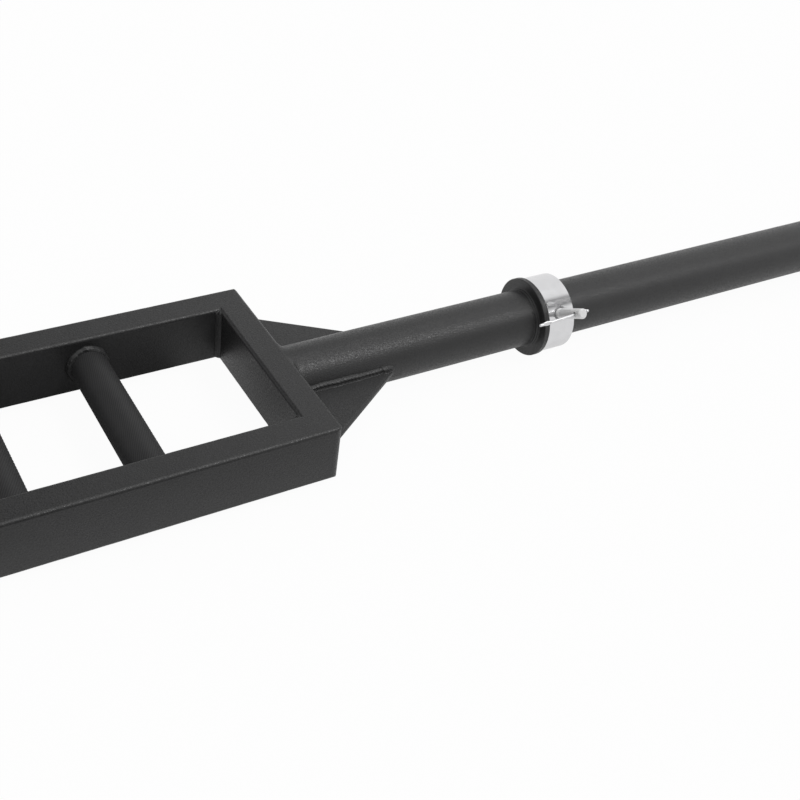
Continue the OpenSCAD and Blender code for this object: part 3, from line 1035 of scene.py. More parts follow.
@dataclass
class WeldedFrame:
    """The rails with their grips and the weld beads between them."""

    datum: Datum
    grip_bead: Bead = Bead(
        leg=3.1 * MM, crown=0.8, ripple_pitch=4.7 * MM, ripple_height=0.03, unevenness=0.2,
        points_per_ripple=12,
    )
    grip_spread: float = 3.9 * MM
    corner_bead: Bead = Bead(
        leg=4.0 * MM, crown=0.35, ripple_height=0.025, pass_height=0.02, unevenness=0.04,
    )
    corner_short: float = 0.9 * MM
    corner_nub: float = 2.6 * MM
    nub_steps: int = 7
    upright_rows: int = 70
    corner_lean: float = 0.8
    rail_round: float = 2.5 * MM
    dent_depth: float = 0.45
    dent_width: float = 0.22
    dent_reach: tuple[float, float] = (4.0 * MM, 1.5 * MM)

    RAILS = ("front_rail", "rear_rail", "left_end_rail", "right_end_rail")
    SPREADS = ("narrow", "middle", "wide")
    GRIP_SEED = 20
    CORNER_SEED = 60

    def grip_names(self) -> list[str]:
        """The nodes of the six grips."""
        return [f"{end.word}_{spread}_grip" for end in End for spread in self.SPREADS]

    def grip_welds(self, side: Side) -> bpy.types.Object:
        """Lays a bead round each grip where it meets one long rail.

        Args:
            side: The rail.

        Returns:
            The six rings as one piece.
        """
        shell = Shell()
        for seed, node in enumerate(self.grip_names(), self.GRIP_SEED):
            low, high = box_of(node)
            radius = float(high[0] - low[0]) / 2
            centre = self.datum.at((low[0] + high[0]) / 2, side.value * self.datum.rail_inner_y)
            off_rail = -side.value * Y_AXIS
            grid = self.grip_bead.round_tube(
                centre, X_AXIS, off_rail, radius, self.grip_spread, seed
            )
            shell.add_grid(grid, ring=True)
        return shell.piece(f"{side.word}_grip_beads")

    def split_top(self, grid: Array, path: Array, levels: Array, height: float) -> Array:
        """Dents the top end of an upright bead along its middle, so that it ends in two lobes.

        Each point is drawn back towards the corner line by a share that is a Gaussian across the
        bead and rises over the last millimetres of its height.

        Args:
            grid: The bead's points.
            path: The corner line.
            levels: Height of each row above the middle.
            height: Height of the top row above the middle.

        Returns:
            The dented points.
        """
        across = np.linspace(-1, 1, self.corner_bead.arc_points)
        dent = np.zeros(grid.shape[1])
        dent[1:1 + len(across)] = self.dent_depth * np.exp(-((across / self.dent_width) ** 2))
        start, full = self.dent_reach
        share = smooth_step(levels, height - start, height - full)[:, None] * dent[None, :]
        return grid + share[..., None] * (path[:, None] - grid)

    def corner_welds(self) -> bpy.types.Object:
        """Lays an upright bead in each inner corner of the frame.

        The bead climbs the corner and ends in a rounded nub where the rails' edges round off: its
        size falls along a quarter ellipse over the last stretch, and its line leans back with the
        round of the edges.

        Returns:
            The four beads as one piece.
        """
        shell = Shell()
        smallest = 0.02
        half, nub = self.datum.rail_half_height, self.corner_nub
        height = half - self.corner_short
        turn = np.linspace(0, QUARTER, self.nub_steps)
        levels = np.concatenate([
            -height + nub * (1 - np.cos(turn)),
            np.linspace(-height + nub, height - nub, self.upright_rows)[1:-1],
            height - nub + nub * np.sin(turn),
        ])
        past = np.clip(np.abs(levels) - (half - self.rail_round), 0, self.rail_round)
        lean = self.corner_lean * round_back(past, self.rail_round)
        into_nub = np.clip((np.abs(levels) - height + nub) / nub, 0, 1)
        fade = np.sqrt(np.clip(1 - into_nub**2, smallest, 1))
        legs = self.corner_bead.leg * fade + lean
        corners = [(end.value, side.value) for end in End for side in Side]
        for seed, (x_sign, y_sign) in enumerate(corners, self.CORNER_SEED):
            path = np.stack([
                x_sign * (self.datum.end_inner_x + lean),
                y_sign * (self.datum.rail_inner_y + lean),
                self.datum.axis_height + levels,
            ], -1)
            grid = self.corner_bead.grid(path, -x_sign * X_AXIS, -y_sign * Y_AXIS, seed, legs, legs)
            shell.add_grid(self.split_top(grid, path, levels, height))
        return shell.piece("inner_corner_beads")

    def dress(self, wardrobe: Wardrobe) -> None:
        """Builds and dresses the rails, grips and beads.

        Args:
            wardrobe: The finishes.
        """
        for node in self.RAILS:
            wardrobe.hand_over(Rail(node, self.datum).build(), node, Finish.POWDER)
        for node in self.grip_names():
            wardrobe.hand_over(Grip(node).build(), node, Finish.KNURL)
        for side in Side:
            wardrobe.hand_over(self.grip_welds(side), f"{side.word}_grip_welds", Finish.WELD)
        wardrobe.hand_over(self.corner_welds(), "frame_corner_welds", Finish.WELD)


@dataclass
class Gusset:
    """One triangular gusset plate, its free edges rounded."""

    end: End
    side: Side
    datum: Datum
    nose: float = 3.0 * MM
    edge_round: float = 2.0 * MM
    support: float = 0.3 * MM
    arc_steps: int = 6

    @property
    def node(self) -> str:
        """The plate's node."""
        return f"{self.end.word}_{self.side.word}_gusset"

    def outline(self, corners: Array, inset: float) -> Array:
        """The plate's outline with its free edges moved inwards.

        Each corner is where the lines of its two edges meet, a line being n . p = n . corner - d,
        n its outward normal and d the inset, or 0 along the rail and along the tube.

        Args:
            corners: Corners in order, starting on the rail beside the tube.
            inset: Distance by which the free edges move.

        Returns:
            The moved corners.
        """
        run = np.roll(corners, -1, axis=0) - corners
        normal = np.stack([run[:, 1], -run[:, 0]], -1) / np.linalg.norm(run, axis=1)[:, None]
        normal *= np.sign(((corners - corners.mean(axis=0)) * normal).sum(1))[:, None]
        shift = np.full(len(corners), inset)
        shift[[0, -1]] = 0.0
        level = (normal * corners).sum(1) - shift
        both_normals = np.stack([np.roll(normal, 1, axis=0), normal], 1)
        both_levels = np.stack([np.roll(level, 1), level], 1)
        return np.linalg.solve(both_normals, both_levels[..., None])[..., 0]

    def build(self) -> bpy.types.Object:
        """Builds the plate: a stack of outlines, inset by r - r cos t at a height of r sin t.

        Returns:
            The piece.
        """
        low, high = box_of(self.node)
        run = float(high[0] - low[0])
        reach = float(max(abs(low[1]), abs(high[1])))
        thick = float(high[2] - low[2]) / 2
        radius = self.datum.tube_radius
        contact = math.sqrt(radius**2 - thick**2)
        corners = np.array([
            (0, contact), (run, contact), (run, radius + self.nose), (self.nose, reach), (0, reach),
        ])
        turn = np.linspace(0, QUARTER, self.arc_steps + 1)
        inset = self.edge_round * (1 - np.cos(turn))
        inset = np.append(inset, inset[-1] + self.support)
        rise = np.append(thick - self.edge_round * (1 - np.sin(turn)), thick)
        plans = np.array([self.outline(corners, depth) for depth in (*inset[::-1], *inset)])
        levels = self.datum.axis_height + np.concatenate([-rise[::-1], rise])
        grid = np.stack([
            self.end.value * (self.datum.end_face_x + plans[..., 0]),
            self.side.value * plans[..., 1],
            np.broadcast_to(levels[:, None], plans.shape[:2]),
        ], -1)
        return one_piece("rounded_" + self.node, grid)


@dataclass
class SleeveEnd:
    """One loading sleeve with its flange, gussets, plug and welds."""

    end: End
    datum: Datum
    rail_round: float = 2.5 * MM
    gusset_half: float = 3.0 * MM
    gusset_nose: float = 3.0 * MM
    overlap: float = 0.5 * MM
    seam_turn: float = 0.4 * MM
    turn_steps: int = 7
    end_steps: int = 9
    seam_spread: float = 4.4 * MM
    tip_reach: float = 3.0 * MM
    tip_length: float = 5.0 * MM
    crater_depth: float = 0.25
    crater_from_tip: float = 11.0 * MM
    crater_half: float = 1.8 * MM
    crater_on_plate: float = 0.4
    seam_bead: Bead = Bead(
        leg=3.6 * MM, outline=ROLLED_LIP, ripple_pitch=3.4 * MM, ripple_height=0.025,
        ripple_bow=3.0, ripple_drift=1.6, pass_height=0.0, unevenness=0.12, sunk=0.9 * MM,
        arc_points=34, points_per_ripple=12,
    )
    flange_spread: float = 4.6 * MM
    flange_bead: Bead = Bead(
        leg=2.6 * MM, outline=TWO_STEPS, ripple_height=0.01, passes=3.0, unevenness=0.05,
        sunk=0.4 * MM, arc_points=37,
    )
    root_bead: Bead = Bead(
        leg=3.8 * MM, outline=HOLLOW_TOE, ripple_pitch=2.4 * MM, ripple_height=0.02,
        pass_height=0.0, unevenness=0.07, sunk=0.8 * MM, arc_points=25,
    )
    root_clear: float = 0.05 * MM
    root_deepest: float = 0.3 * MM
    root_steepest: float = 0.5

    ROOT_SEED = 70
    FLANGE_SEED = 90
    SEAM_SEED = 100
    SEEDS_PER_SIDE = 10
    RAIL_SEAM_SEED = 5

    def flange_weld(self) -> bpy.types.Object:
        """Lays the bead on the frame's side of the flange.

        Returns:
            The piece.
        """
        sign = self.end.value
        grid = self.flange_bead.round_tube(
            self.datum.at(sign * self.datum.flange_back_x), Y_AXIS, -sign * X_AXIS,
            self.datum.tube_radius, self.flange_spread, self.FLANGE_SEED,
        )
        return one_piece(f"{self.end.word}_flange_bead", grid, ring=True)

    def root_weld(self) -> bpy.types.Object:
        """Lays the bead between the tube and the end rail.

        The bead is a fillet between the tube and the rail's face. At the top and the bottom the
        rail is no higher than the tube, so there the leg on the rail is cut back until it lies
        flush with the rail's flat side, and its foot follows the round of the rail's edge, set
        back by r - sqrt(r^2 - d^2) at a depth d into the round.

        Returns:
            The piece.
        """
        bead = self.root_bead
        radius, half = self.datum.tube_radius, self.datum.rail_half_height
        count = bead.steps(WHOLE * radius)
        turn = np.linspace(0, WHOLE, count, endpoint=False)
        rise = np.abs(np.sin(turn))
        flush = (half - self.root_clear) / np.maximum(rise, self.root_steepest) - radius
        leg_rail = np.minimum(bead.leg, flush)
        along = turn / WHOLE * round(WHOLE * radius / bead.ripple_pitch) * bead.ripple_pitch
        plain = np.full(count, bead.leg)
        out, up = bead.section(along, self.ROOT_SEED + self.end.value, plain, plain)
        up = np.where(up > 0, up * (leg_rail / bead.leg)[:, None], up)
        up = np.minimum(up, np.maximum(leg_rail, -self.root_deepest)[:, None])
        level = rise[:, None] * (radius + up)
        into = np.clip(level - (half - self.rail_round), 0, self.rail_round)
        foot = np.clip(1 - out / bead.leg, 0, 1)
        out = out - foot * round_back(into, self.rail_round)
        grid = np.stack([
            self.end.value * (self.datum.end_face_x + out),
            (radius + up) * np.cos(turn)[:, None],
            self.datum.axis_height + (radius + up) * np.sin(turn)[:, None],
        ], -1)
        return one_piece(f"{self.end.word}_root_bead", grid, ring=True)

    def seam_line(self, length: float) -> tuple[Array, Array, Array]:
        """A narrow U about a plate's middle: straight, round the plate's end, straight back.

        Args:
            length: Distance from the seam's start to the plate's end.

        Returns:
            Distance ahead and height above the plate's middle at each point, and the angle by
            which the outward direction there rises from straight ahead.
        """
        half, corner = self.gusset_half, self.seam_turn
        straight = np.linspace(0, length - corner, self.seam_bead.steps(length))
        turn = np.linspace(0, QUARTER, self.turn_steps)[1:]
        over = np.linspace(half - corner, corner - half, self.end_steps)[1:-1]
        count = len(straight)
        ahead = np.concatenate([
            straight,
            length - corner + corner * np.sin(turn),
            np.full(len(over), length),
            length - corner + corner * np.cos(turn - turn[0]),
            straight[::-1][1:],
        ])
        rise = np.concatenate([
            np.full(count, half),
            half - corner + corner * np.cos(turn),
            over,
            corner - half - corner * np.sin(turn),
            np.full(count - 1, -half),
        ])
        tilt = np.concatenate([
            np.full(count, QUARTER),
            QUARTER - turn,
            np.zeros(len(over)),
            -turn,
            np.full(count - 1, -QUARTER),
        ])
        return ahead, rise, tilt

    def seam(
        self, start: Array, along: Array, away: Array, length: float, seed: int, on_tube: bool
    ) -> Array:
        """Lays one bead that runs up one face of a gusset, round its end and back down the other.

        The bead's second side always faces away from the plate. Round the plate's end the bead is
        no taller than the plate's nose, and on the tube a crater, a Gaussian along the seam, marks
        where the welder stopped. On the tube, each point is drawn in by r - sqrt(r^2 - h^2) at a
        height h above the plate's middle, less its value at the plate's face, so that the bead's
        edge lies on the tube.

        Args:
            start: Point in the plate's middle plane where the seam begins.
            along: Unit direction of the seam.
            away: Unit direction away from the surface that carries the plate.
            length: Distance from the start to the plate's end.
            seed: Seed of the unevenness.
            on_tube: Whether the carrying surface is the tube, and not the flat end rail.

        Returns:
            The bead's grid.
        """
        ahead, rise, tilt = self.seam_line(length)
        path = start + ahead[:, None] * along + rise[:, None] * Z_AXIS
        face = np.cos(tilt)[:, None] * along + np.sin(tilt)[:, None] * Z_AXIS
        tip = smooth_step(ahead, length - self.tip_length, length)
        from_crater = (ahead - length + self.crater_from_tip) / self.crater_half
        crater = self.crater_depth * np.exp(-(from_crater**2)) * on_tube
        legs_away = (self.seam_spread * (1 - tip) + self.gusset_nose * tip) * (1 - crater)
        legs_face = self.seam_bead.leg * (1 - tip) + self.tip_reach * tip
        legs_face = legs_face * (1 - self.crater_on_plate * crater)
        grid = self.seam_bead.grid(path, away, face, seed, legs_away, legs_face)
        if on_tube:
            radius, half = self.datum.tube_radius, self.gusset_half
            height = np.clip(np.abs(grid[..., 2] - start[2]), half, radius)
            drawn = round_back(height, radius) - round_back(half, radius)
            grid = grid - drawn[..., None] * away
        return grid

    def gusset_welds(self) -> bpy.types.Object:
        """Lays the beads along the tube and along the end rail, round both gussets.

        Returns:
            The four beads as one piece.
        """
        sign, face, overlap = self.end.value, self.datum.end_face_x, self.overlap
        contact = math.sqrt(self.datum.tube_radius**2 - self.gusset_half**2)
        shell = Shell()
        for side in Side:
            low, high = box_of(f"{self.end.word}_{side.word}_gusset")
            run = float(high[0] - low[0])
            reach = float(max(abs(low[1]), abs(high[1]))) - contact
            root = self.datum.at(sign * (face - overlap), side.value * contact)
            foot = self.datum.at(sign * face, side.value * (contact - overlap))
            out, sideways = sign * X_AXIS, side.value * Y_AXIS
            seed = self.SEAM_SEED + self.SEEDS_PER_SIDE * side.value + sign
            shell.add_grid(self.seam(root, out, sideways, run + overlap, seed, on_tube=True))
            seed += self.RAIL_SEAM_SEED
            shell.add_grid(self.seam(foot, sideways, out, reach + overlap, seed, on_tube=False))
        return shell.piece(f"{self.end.word}_gusset_beads")

    def dress(self, wardrobe: Wardrobe) -> None:
        """Builds and dresses the sleeve's pieces.

        Args:
            wardrobe: The finishes.
        """
        word = self.end.word
        for part in ("sleeve_tube", "flange"):
            wardrobe.dress_node(f"{word}_{part}", Finish.POWDER)
        for side in Side:
            plate = Gusset(self.end, side, self.datum)
            wardrobe.hand_over(plate.build(), plate.node, Finish.POWDER)
        wardrobe.dress_node(f"{word}_end_plug", Finish.PLUG)
        wardrobe.hand_over(self.flange_weld(), f"{word}_flange_weld", Finish.WELD)
        wardrobe.hand_over(self.root_weld(), f"{word}_root_weld", Finish.WELD)
        wardrobe.hand_over(self.gusset_welds(), f"{word}_gusset_welds", Finish.WELD)


@dataclass
class RingCollar:
    """One ring collar with its clamp screw and its tommy bar."""

    end: End
    thread_pitch: float = 1.25 * MM
    thread_depth: float = 0.7 * MM
    thread_end: float = 36.0 * MM
    thread_crest: float = 0.12
    thread_flank: float = 0.7
    rows_per_pitch: int = 12
    shank_rows: int = 36
    point_length: float = 4.0 * MM
    point_radius: float = 3.25 * MM
    head_chamfer: float = 1.2 * MM
    hole_clearance: float = 0.6 * MM
    hole_rise: float = 0.9
    bar_radius: float = 1.2 * MM
    bar_rows: int = 150
    bar_around: int = 24
    tip_steps: int = 7
    pinch_width: float = 3.7 * MM
    pinch_thick: float = 1.3 * MM
    near_pinch: tuple[float, float] = (5.0 * MM, 4.3 * MM)
    far_pinch: tuple[float, float] = (10.0 * MM, 8.2 * MM)
    pressed_from: tuple[float, float] = (0.08, 0.3)
    pressed_until: tuple[float, float] = (0.7, 0.92)
    squareness: float = 0.5
    around: int = 48

    def __post_init__(self) -> None:
        """Reads the screw's and the tommy bar's lines off the frame's joints and meshes."""
        turn = joint_of(f"{self.end.word}_screw_turn")
        slide = joint_of(f"{self.end.word}_tommy_slide")
        self.root = np.array(turn["pos_m"])
        self.out = np.array(turn["axis"]) / np.linalg.norm(turn["axis"])
        self.rod = np.array(slide["axis"]) / np.linalg.norm(slide["axis"])
        self.wide = np.cross(self.out, self.rod)
        screw = self.node_points(f"{self.end.word}_clamp_screw") - self.root
        bar = self.node_points(f"{self.end.word}_tommy_bar") - self.root
        level = screw @ self.out
        self.tip, self.top = float(level.min()), float(level.max())
        aside = screw - np.outer(level, self.out)
        self.screw_radius = float(np.linalg.norm(aside, axis=1).max())
        rise = float((bar @ self.out).mean()) * self.out
        self.centre = self.root + rise
        reach = (bar - rise) @ self.rod
        self.bar_low, self.bar_high = float(reach.min()), float(reach.max())

    @staticmethod
    def node_points(node: str) -> Array:
        """The corner points of a node's mesh.

        Args:
            node: Name of the node.

        Returns:
            The points in metres, one in each line.
        """
        mesh = frame["nodes"][node].data
        flat = np.zeros(len(mesh.vertices) * 3)
        mesh.vertices.foreach_get("co", flat)
        return flat.reshape(-1, 3)

    def turned(self, level: Array, reach: Array) -> Array:
        """Turns a profile about the screw's axis.

        The point at an angle t is root + level out + reach (cos t rod + sin t wide).

        Args:
            level: Distance from the sleeve's axis at each row.
            reach: Radius at each row and each point round it.

        Returns:
            The grid of points.
        """
        turn = np.linspace(0, WHOLE, self.around, endpoint=False)
        outward = np.cos(turn)[:, None] * self.rod + np.sin(turn)[:, None] * self.wide
        return self.root + level[:, None, None] * self.out + reach[..., None] * outward

    def screw(self) -> bpy.types.Object:
        """Builds the clamp screw: turned point, thread, plain shank, chamfered end, cross hole.

        The thread is a groove along a helix. Its depth is a triangle wave of the level in pitches
        less the share of a turn, with the crest and the root cut flat, and it runs out over half a
        pitch at both ends.

        Returns:
            The piece.
        """
        radius, edge = self.screw_radius, self.point_radius / 4
        shoulder, half = self.tip + self.point_length, self.thread_pitch / 2
        shank_top = self.top - self.head_chamfer
        thread = np.arange(shoulder, self.thread_end, self.thread_pitch / self.rows_per_pitch)
        shank = np.linspace(self.thread_end, shank_top, self.shank_rows)
        level = np.concatenate([
            [self.tip, self.tip + edge, shoulder - radius + self.point_radius],
            thread,
            shank,
            [self.top],
        ])
        reach = np.concatenate([
            [self.point_radius - edge, self.point_radius, self.point_radius],
            np.full(len(thread) + len(shank), radius),
            [radius - self.head_chamfer],
        ])
        turn = np.linspace(0, 1, self.around, endpoint=False)[None, :]
        phase = (level[:, None] / self.thread_pitch - turn) % 1
        groove = (2 * np.abs(phase - 0.5) - self.thread_crest) / self.thread_flank
        share = smooth_step(level, shoulder, shoulder + half)
        share = share * (1 - smooth_step(level, self.thread_end - half, self.thread_end))
        cut = self.thread_depth * share[:, None] * np.clip(groove, 0, 1)
        grid = self.turned(level, reach[:, None] - cut)
        screw = one_piece(f"{self.end.word}_threaded_screw", grid)
        self.bore(screw)
        return screw

    def bore(self, screw: bpy.types.Object) -> None:
        """Bores the cross hole, set so much above the bar that the bar rests in it.

        The cutter is a cylinder along the bar's line, wider than the bar by the clearance all
        round and longer than the screw is thick.

        Args:
            screw: The screw, whose mesh is replaced by the bored one.
        """
        turn = np.linspace(0, WHOLE, self.around, endpoint=False)
        ring = np.cos(turn)[:, None] * self.out + np.sin(turn)[:, None] * self.wide
        past_both_sides = np.array([-2.0, 2.0])[:, None, None] * self.screw_radius * self.rod
        upwards = np.sign(self.wide[2]) * self.wide
        middle = self.centre + self.hole_rise * self.hole_clearance * upwards
        hole = (self.bar_radius + self.hole_clearance) * ring
        drill = one_piece("drill", middle + past_both_sides + hole)
        cut = screw.modifiers.new("cross_hole", "BOOLEAN")
        cut.operation, cut.solver, cut.object = "DIFFERENCE", "EXACT", drill
        ready = screw.evaluated_get(bpy.context.evaluated_depsgraph_get())
        bored = bpy.data.meshes.new_from_object(ready)
        screw.modifiers.clear()
        screw.data = bored
        bored.set_sharp_from_angle(angle=CREASE)
        bpy.data.objects.remove(drill)

    def tommy_bar(self) -> bpy.types.Object:
        """Builds the sliding bar: a round rod pressed flat near both ends, with rounded tips.

        At a share t of a pinched stretch the half width is r + (w - r) sin^2(pi t), and the half
        thickness falls from r to that of the pressed metal between two soft steps. The section is
        a superellipse that goes from round to nearly square as the rod gets flat.

        Returns:
            The piece.
        """
        smallest = 0.01
        radius = self.bar_radius
        tip = radius * (1 - np.cos(np.linspace(0, QUARTER, self.tip_steps)))
        middle = np.linspace(self.bar_low + radius, self.bar_high - radius, self.bar_rows)[1:-1]
        place = np.concatenate([self.bar_low + tip, middle, (self.bar_high - tip)[::-1]])
        wide, flat = np.full(len(place), radius), np.zeros(len(place))
        stretches = (
            (self.bar_high - self.near_pinch[1], self.near_pinch[0]),
            (self.bar_low + self.far_pinch[1], self.far_pinch[0]),
        )
        for centre, length in stretches:
            share = np.clip((place - centre) / length + 0.5, 0, 1)
            wide += (self.pinch_width / 2 - radius) * np.sin(math.pi * share) ** 2
            pressed = smooth_step(share, *self.pressed_from)
            flat += pressed * (1 - smooth_step(share, *self.pressed_until))
        thin = radius - (radius - self.pinch_thick / 2) * flat
        from_end = np.minimum(place - self.bar_low, self.bar_high - place)
        short = np.clip(1 - from_end / radius, 0, 1)
        fade = np.sqrt(np.clip(1 - short**2, smallest, 1))
        turn = np.linspace(0, WHOLE, self.bar_around, endpoint=False)[None, :]
        power = (1 - self.squareness * flat)[:, None]
        across, through = (
            np.sign(wave) * np.abs(wave) ** power * (half * fade)[:, None]
            for wave, half in ((np.cos(turn), wide), (np.sin(turn), thin))
        )
        line = self.centre + place[:, None, None] * self.rod
        grid = line + across[..., None] * self.wide + through[..., None] * self.out
        return one_piece(f"{self.end.word}_pinched_bar", grid, crease=SOFT_CREASE)

    def dress(self, wardrobe: Wardrobe) -> None:
        """Builds and dresses the collar's pieces.

        Args:
            wardrobe: The finishes.
        """
        word = self.end.word
        wardrobe.dress_node(f"{word}_collar_ring", Finish.RING)
        wardrobe.hand_over(self.screw(), f"{word}_clamp_screw", Finish.SCREW)
        wardrobe.hand_over(self.tommy_bar(), f"{word}_tommy_bar", Finish.ROD)


@dataclass(frozen=True)
class View:
    """The photograph's camera, found from the straight edges and round outlines in it."""

    place: tuple[float, float, float] = (0.06722, -0.67144, 0.64085)
    azimuth: float = math.radians(35.92)
    elevation: float = math.radians(38.74)
    roll: float = math.radians(8.86)
    focal_pixels: float = 1210.44
    image_pixels: float = 800.0
    sensor: float = 36.0
    clip: tuple[float, float] = (0.01, 50.0)

    def build(self) -> None:
        """Makes the camera and sets it as the scene's.

        It looks along (sin a cos e, cos a cos e, -sin e), a being the azimuth from straight back
        towards the right and e the angle downwards, and is rolled about that line.
        """
        ahead = Vector((
            math.sin(self.azimuth) * math.cos(self.elevation),
            math.cos(self.azimuth) * math.cos(self.elevation),
            -math.sin(self.elevation),
        ))
        right = Vector((math.cos(self.azimuth), -math.sin(self.azimuth), 0.0))
        above = right.cross(ahead)
        turned_right = math.cos(self.roll) * right + math.sin(self.roll) * above
        turned_above = math.cos(self.roll) * above - math.sin(self.roll) * right
        data = bpy.data.cameras.new("photo_camera")
        data.sensor_width = self.sensor
        data.lens = self.focal_pixels / self.image_pixels * self.sensor
        data.clip_start, data.clip_end = self.clip
        camera = bpy.data.objects.new("photo_camera", data)
        columns = Matrix((turned_right, turned_above, -ahead)).transposed()
        camera.matrix_world = Matrix.Translation(Vector(self.place)) @ columns.to_4x4()
        bpy.context.scene.collection.objects.link(camera)
        bpy.context.scene.camera = camera


@dataclass(frozen=True)
class Bearing:
    """A round part of the surroundings, in degrees.

    The azimuth runs from the bar's right end towards its rear side, the elevation up from the
    floor, and the radius is seen from the bar.
    """

    azimuth: float
    elevation: float
    radius: float

    def towards(self) -> Vector:
        """Turns the two angles into a direction.

        Returns:
            The unit direction from the bar.
        """
        turn, rise = math.radians(self.azimuth), math.radians(self.elevation)
        level = math.cos(rise)
        return Vector((math.cos(turn) * level, math.sin(turn) * level, math.sin(rise)))


@dataclass(frozen=True)
class SoftLamp:
    """A broad round lamp far off."""

    name: str
    bearing: Bearing
    radiance: float

    DISTANCE = 3.0

    def build(self) -> None:
        """Makes the lamp, whose strength is its radiance times the disc's solid angle."""
        radius = math.radians(self.bearing.radius)
        data = bpy.data.lights.new(self.name, "SUN")
        data.angle = 2 * radius
        data.energy = self.radiance * math.pi * math.sin(radius) ** 2
        lamp = bpy.data.objects.new(self.name, data)
        towards = self.bearing.towards()
        lamp.rotation_euler = (-towards).to_track_quat("-Z", "Y").to_euler()
        lamp.location = self.DISTANCE * towards
        bpy.context.scene.collection.objects.link(lamp)


@dataclass(frozen=True)
class DimPatch:
    """A darker part of the surroundings, which glossy metal mirrors.

    Its light is 1 less the depth within half its radius, and rises along a smooth step to 1 at one
    and a half times its radius.
    """

    bearing: Bearing
    depth: float

    EDGE = (0.5, 1.5)

    def light(self, bench: NodeBench, direction: Socket) -> Socket:
        """Adds the nodes that work out the patch's light.

        The angle between the direction and the patch's middle is the arc cosine of their dot
        product.

        Args:
            bench: The world's bench.
            direction: The direction that is looked up.

        Returns:
            The light, from 1 less the depth to 1.
        """
        inputs = {0: direction, 1: tuple(self.bearing.towards())}
        near = bench.node("ShaderNodeVectorMath", inputs, operation="DOT_PRODUCT").outputs["Value"]
        radius = math.radians(self.bearing.radius)
        edge = (self.EDGE[0] * radius, self.EDGE[1] * radius)
        angle = bench.maths("ARCCOSINE", near)
        return bench.ramp(angle, edge, (1 - self.depth, 1.0), "SMOOTHSTEP")


@dataclass(frozen=True)
class FloorShade:
    """A dimmer stretch of the floor, as glossy surfaces mirror it.

    It is a rectangle about a centre, given by half its sizes. Its light is the share inside it and
    1 outside it, with a smooth step over the edge's width on either side of the outline.
    """

    centre: tuple[float, float]
    half: tuple[float, float]
    edge: float
    share: float

    def light(self, bench: NodeBench, place: bpy.types.NodeOutputs) -> Socket:
        """Adds the nodes that work out the stretch's light.

        Each axis gives a smooth step of the distance from the centre less half the size, and the
        greater of the two tells how far outside the point is.

        Args:
            bench: The floor's bench.
            place: The X and Y of the point on the floor.

        Returns:
            The light, from the share to 1.
        """
        outside = 0.0
        for axis, middle, half in zip("XY", self.centre, self.half):
            away = bench.maths("ABSOLUTE", bench.maths("SUBTRACT", place[axis], middle))
            past = bench.ramp(away, (half - self.edge, half + self.edge), kind="SMOOTHSTEP")
            outside = bench.maths("MAXIMUM", past, outside)
        return bench.ramp(outside, to_range=(self.share, 1.0))


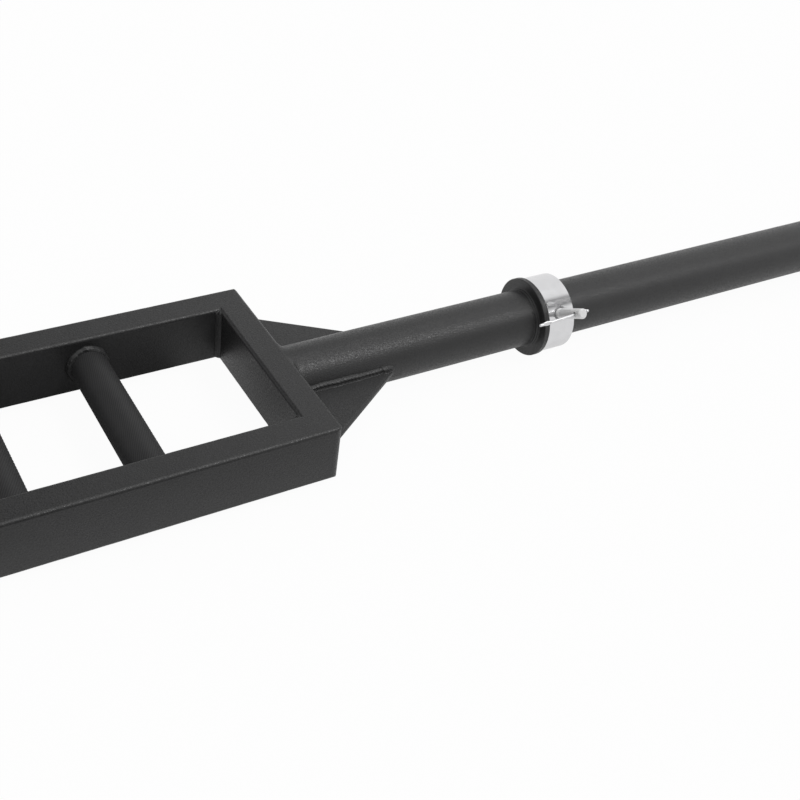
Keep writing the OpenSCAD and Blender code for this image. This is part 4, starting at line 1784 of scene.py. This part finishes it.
@dataclass
class Studio:
    """The plain white studio round the bar."""

    floor_size: float = 30.0
    floor_colour: Colour = (0.88, 0.88, 0.88)
    floor_white: float = 0.96
    floor_mirrored: float = 0.96
    diffuse_light: float = 0.50
    lamps: tuple[SoftLamp, ...] = (
        SoftLamp("front_lamp", Bearing(-51.0, 52.9, 9.0), 12.0),
        SoftLamp("top_lamp", Bearing(19.5, 70.0, 13.0), 1.4),
    )
    patches: tuple[DimPatch, ...] = (
        DimPatch(Bearing(-42.0, 48.5, 13.2), 0.95),
        DimPatch(Bearing(102.0, 45.0, 23.2), 1.0),
        DimPatch(Bearing(-103.0, 0.0, 36.0), 1.0),
        DimPatch(Bearing(131.0, 14.0, 18.0), 0.5),
    )
    shades: tuple[FloorShade, ...] = (
        FloorShade((0.0, 0.0), (0.53, 0.08), 0.03, 0.70),
        FloorShade((0.0, 0.045), (0.382, 0.04), 0.014, 0.22),
        FloorShade((0.0, 0.0), (1.10, 0.03), 0.03, 0.76),
        FloorShade((-0.75, -1.20), (1.25, 1.0), 0.12, 0.05),
    )

    def build(self) -> None:
        """Makes the floor, the world and the lamps."""
        self.build_floor()
        self.build_world()
        for lamp in self.lamps:
            lamp.build()
        bpy.context.scene.view_settings.view_transform = "Standard"

    def build_floor(self) -> None:
        """Makes the pale floor, which stays white to the camera apart from the bar's soft shadow.

        Glossy surfaces mirror a white floor too, dimmer between the rails and below the bar, where
        the bar keeps the light off it, and dimmer in front of the bar, where the photographer
        stood. The shades' lights are multiplied.
        """
        half = self.floor_size / 2
        mesh = bpy.data.meshes.new("studio_floor")
        corners = [(-half, -half, 0), (half, -half, 0), (half, half, 0), (-half, half, 0)]
        mesh.from_pydata(corners, [], [(0, 1, 2, 3)])
        floor = bpy.data.objects.new("studio_floor", mesh)
        bpy.context.scene.collection.objects.link(floor)
        material = bpy.data.materials.new("white_floor")
        bench = NodeBench.fresh(material)
        path = bench.node("ShaderNodeLightPath").outputs
        seen = bench.maths("MAXIMUM", path["Is Camera Ray"], path["Is Transmission Ray"])
        white_share = bench.maths("MULTIPLY", seen, self.floor_white)
        share = bench.maths("MAXIMUM", white_share, path["Is Glossy Ray"])
        place = bench.node("ShaderNodeTexCoord").outputs["Object"]
        apart = bench.node("ShaderNodeSeparateXYZ", {0: place}).outputs
        mirrored = self.floor_mirrored
        for shade in self.shades:
            mirrored = bench.maths("MULTIPLY", shade.light(bench, apart), mirrored)
        unmirrored = bench.maths("SUBTRACT", 1.0, path["Is Glossy Ray"])
        strength = bench.maths("MAXIMUM", mirrored, unmirrored)
        matt = bench.node("ShaderNodeBsdfDiffuse", {"Color": (*self.floor_colour, 1)}).outputs[0]
        white = bench.node("ShaderNodeEmission", {"Color": (1, 1, 1, 1), "Strength": strength})
        mixed = bench.node("ShaderNodeMixShader", {0: share, 1: matt, 2: white.outputs[0]})
        bench.node("ShaderNodeOutputMaterial", {"Surface": mixed.outputs[0]})
        mesh.materials.append(material)

    def build_world(self) -> None:
        """Makes the surroundings: white to the camera, white with dim patches to glossy metal.

        The patches' lights are multiplied. Everything else gets a plain soft light.
        """
        world = bpy.data.worlds.new("studio_world")
        bench = NodeBench.fresh(world)
        direction = bench.node("ShaderNodeTexCoord").outputs["Object"]
        mirrored = 1.0
        for patch in self.patches:
            mirrored = bench.maths("MULTIPLY", patch.light(bench, direction), mirrored)
        path = bench.node("ShaderNodeLightPath").outputs
        open_view = bench.maths("MAXIMUM", path["Is Camera Ray"], path["Is Transmission Ray"])
        soft, glossy, white = (
            bench.node(
                "ShaderNodeBackground", {"Color": (1, 1, 1, 1), "Strength": strength}
            ).outputs[0]
            for strength in (self.diffuse_light, mirrored, 1.0)
        )
        mixed = bench.node("ShaderNodeMixShader", {0: path["Is Glossy Ray"], 1: soft, 2: glossy})
        mixed = bench.node("ShaderNodeMixShader", {0: open_view, 1: mixed.outputs[0], 2: white})
        bench.node("ShaderNodeOutputWorld", {"Surface": mixed.outputs[0]})
        bpy.context.scene.world = world


def main() -> None:
    """Builds the sub-assemblies in order, then the studio and the camera."""
    logging.basicConfig(level=logging.INFO, format="%(message)s")
    datum = Datum()
    wardrobe = Wardrobe()
    WeldedFrame(datum).dress(wardrobe)
    for end in End:
        SleeveEnd(end, datum).dress(wardrobe)
        RingCollar(end).dress(wardrobe)
    Studio().build()
    View().build()


if __name__ == "__main__":
    main()
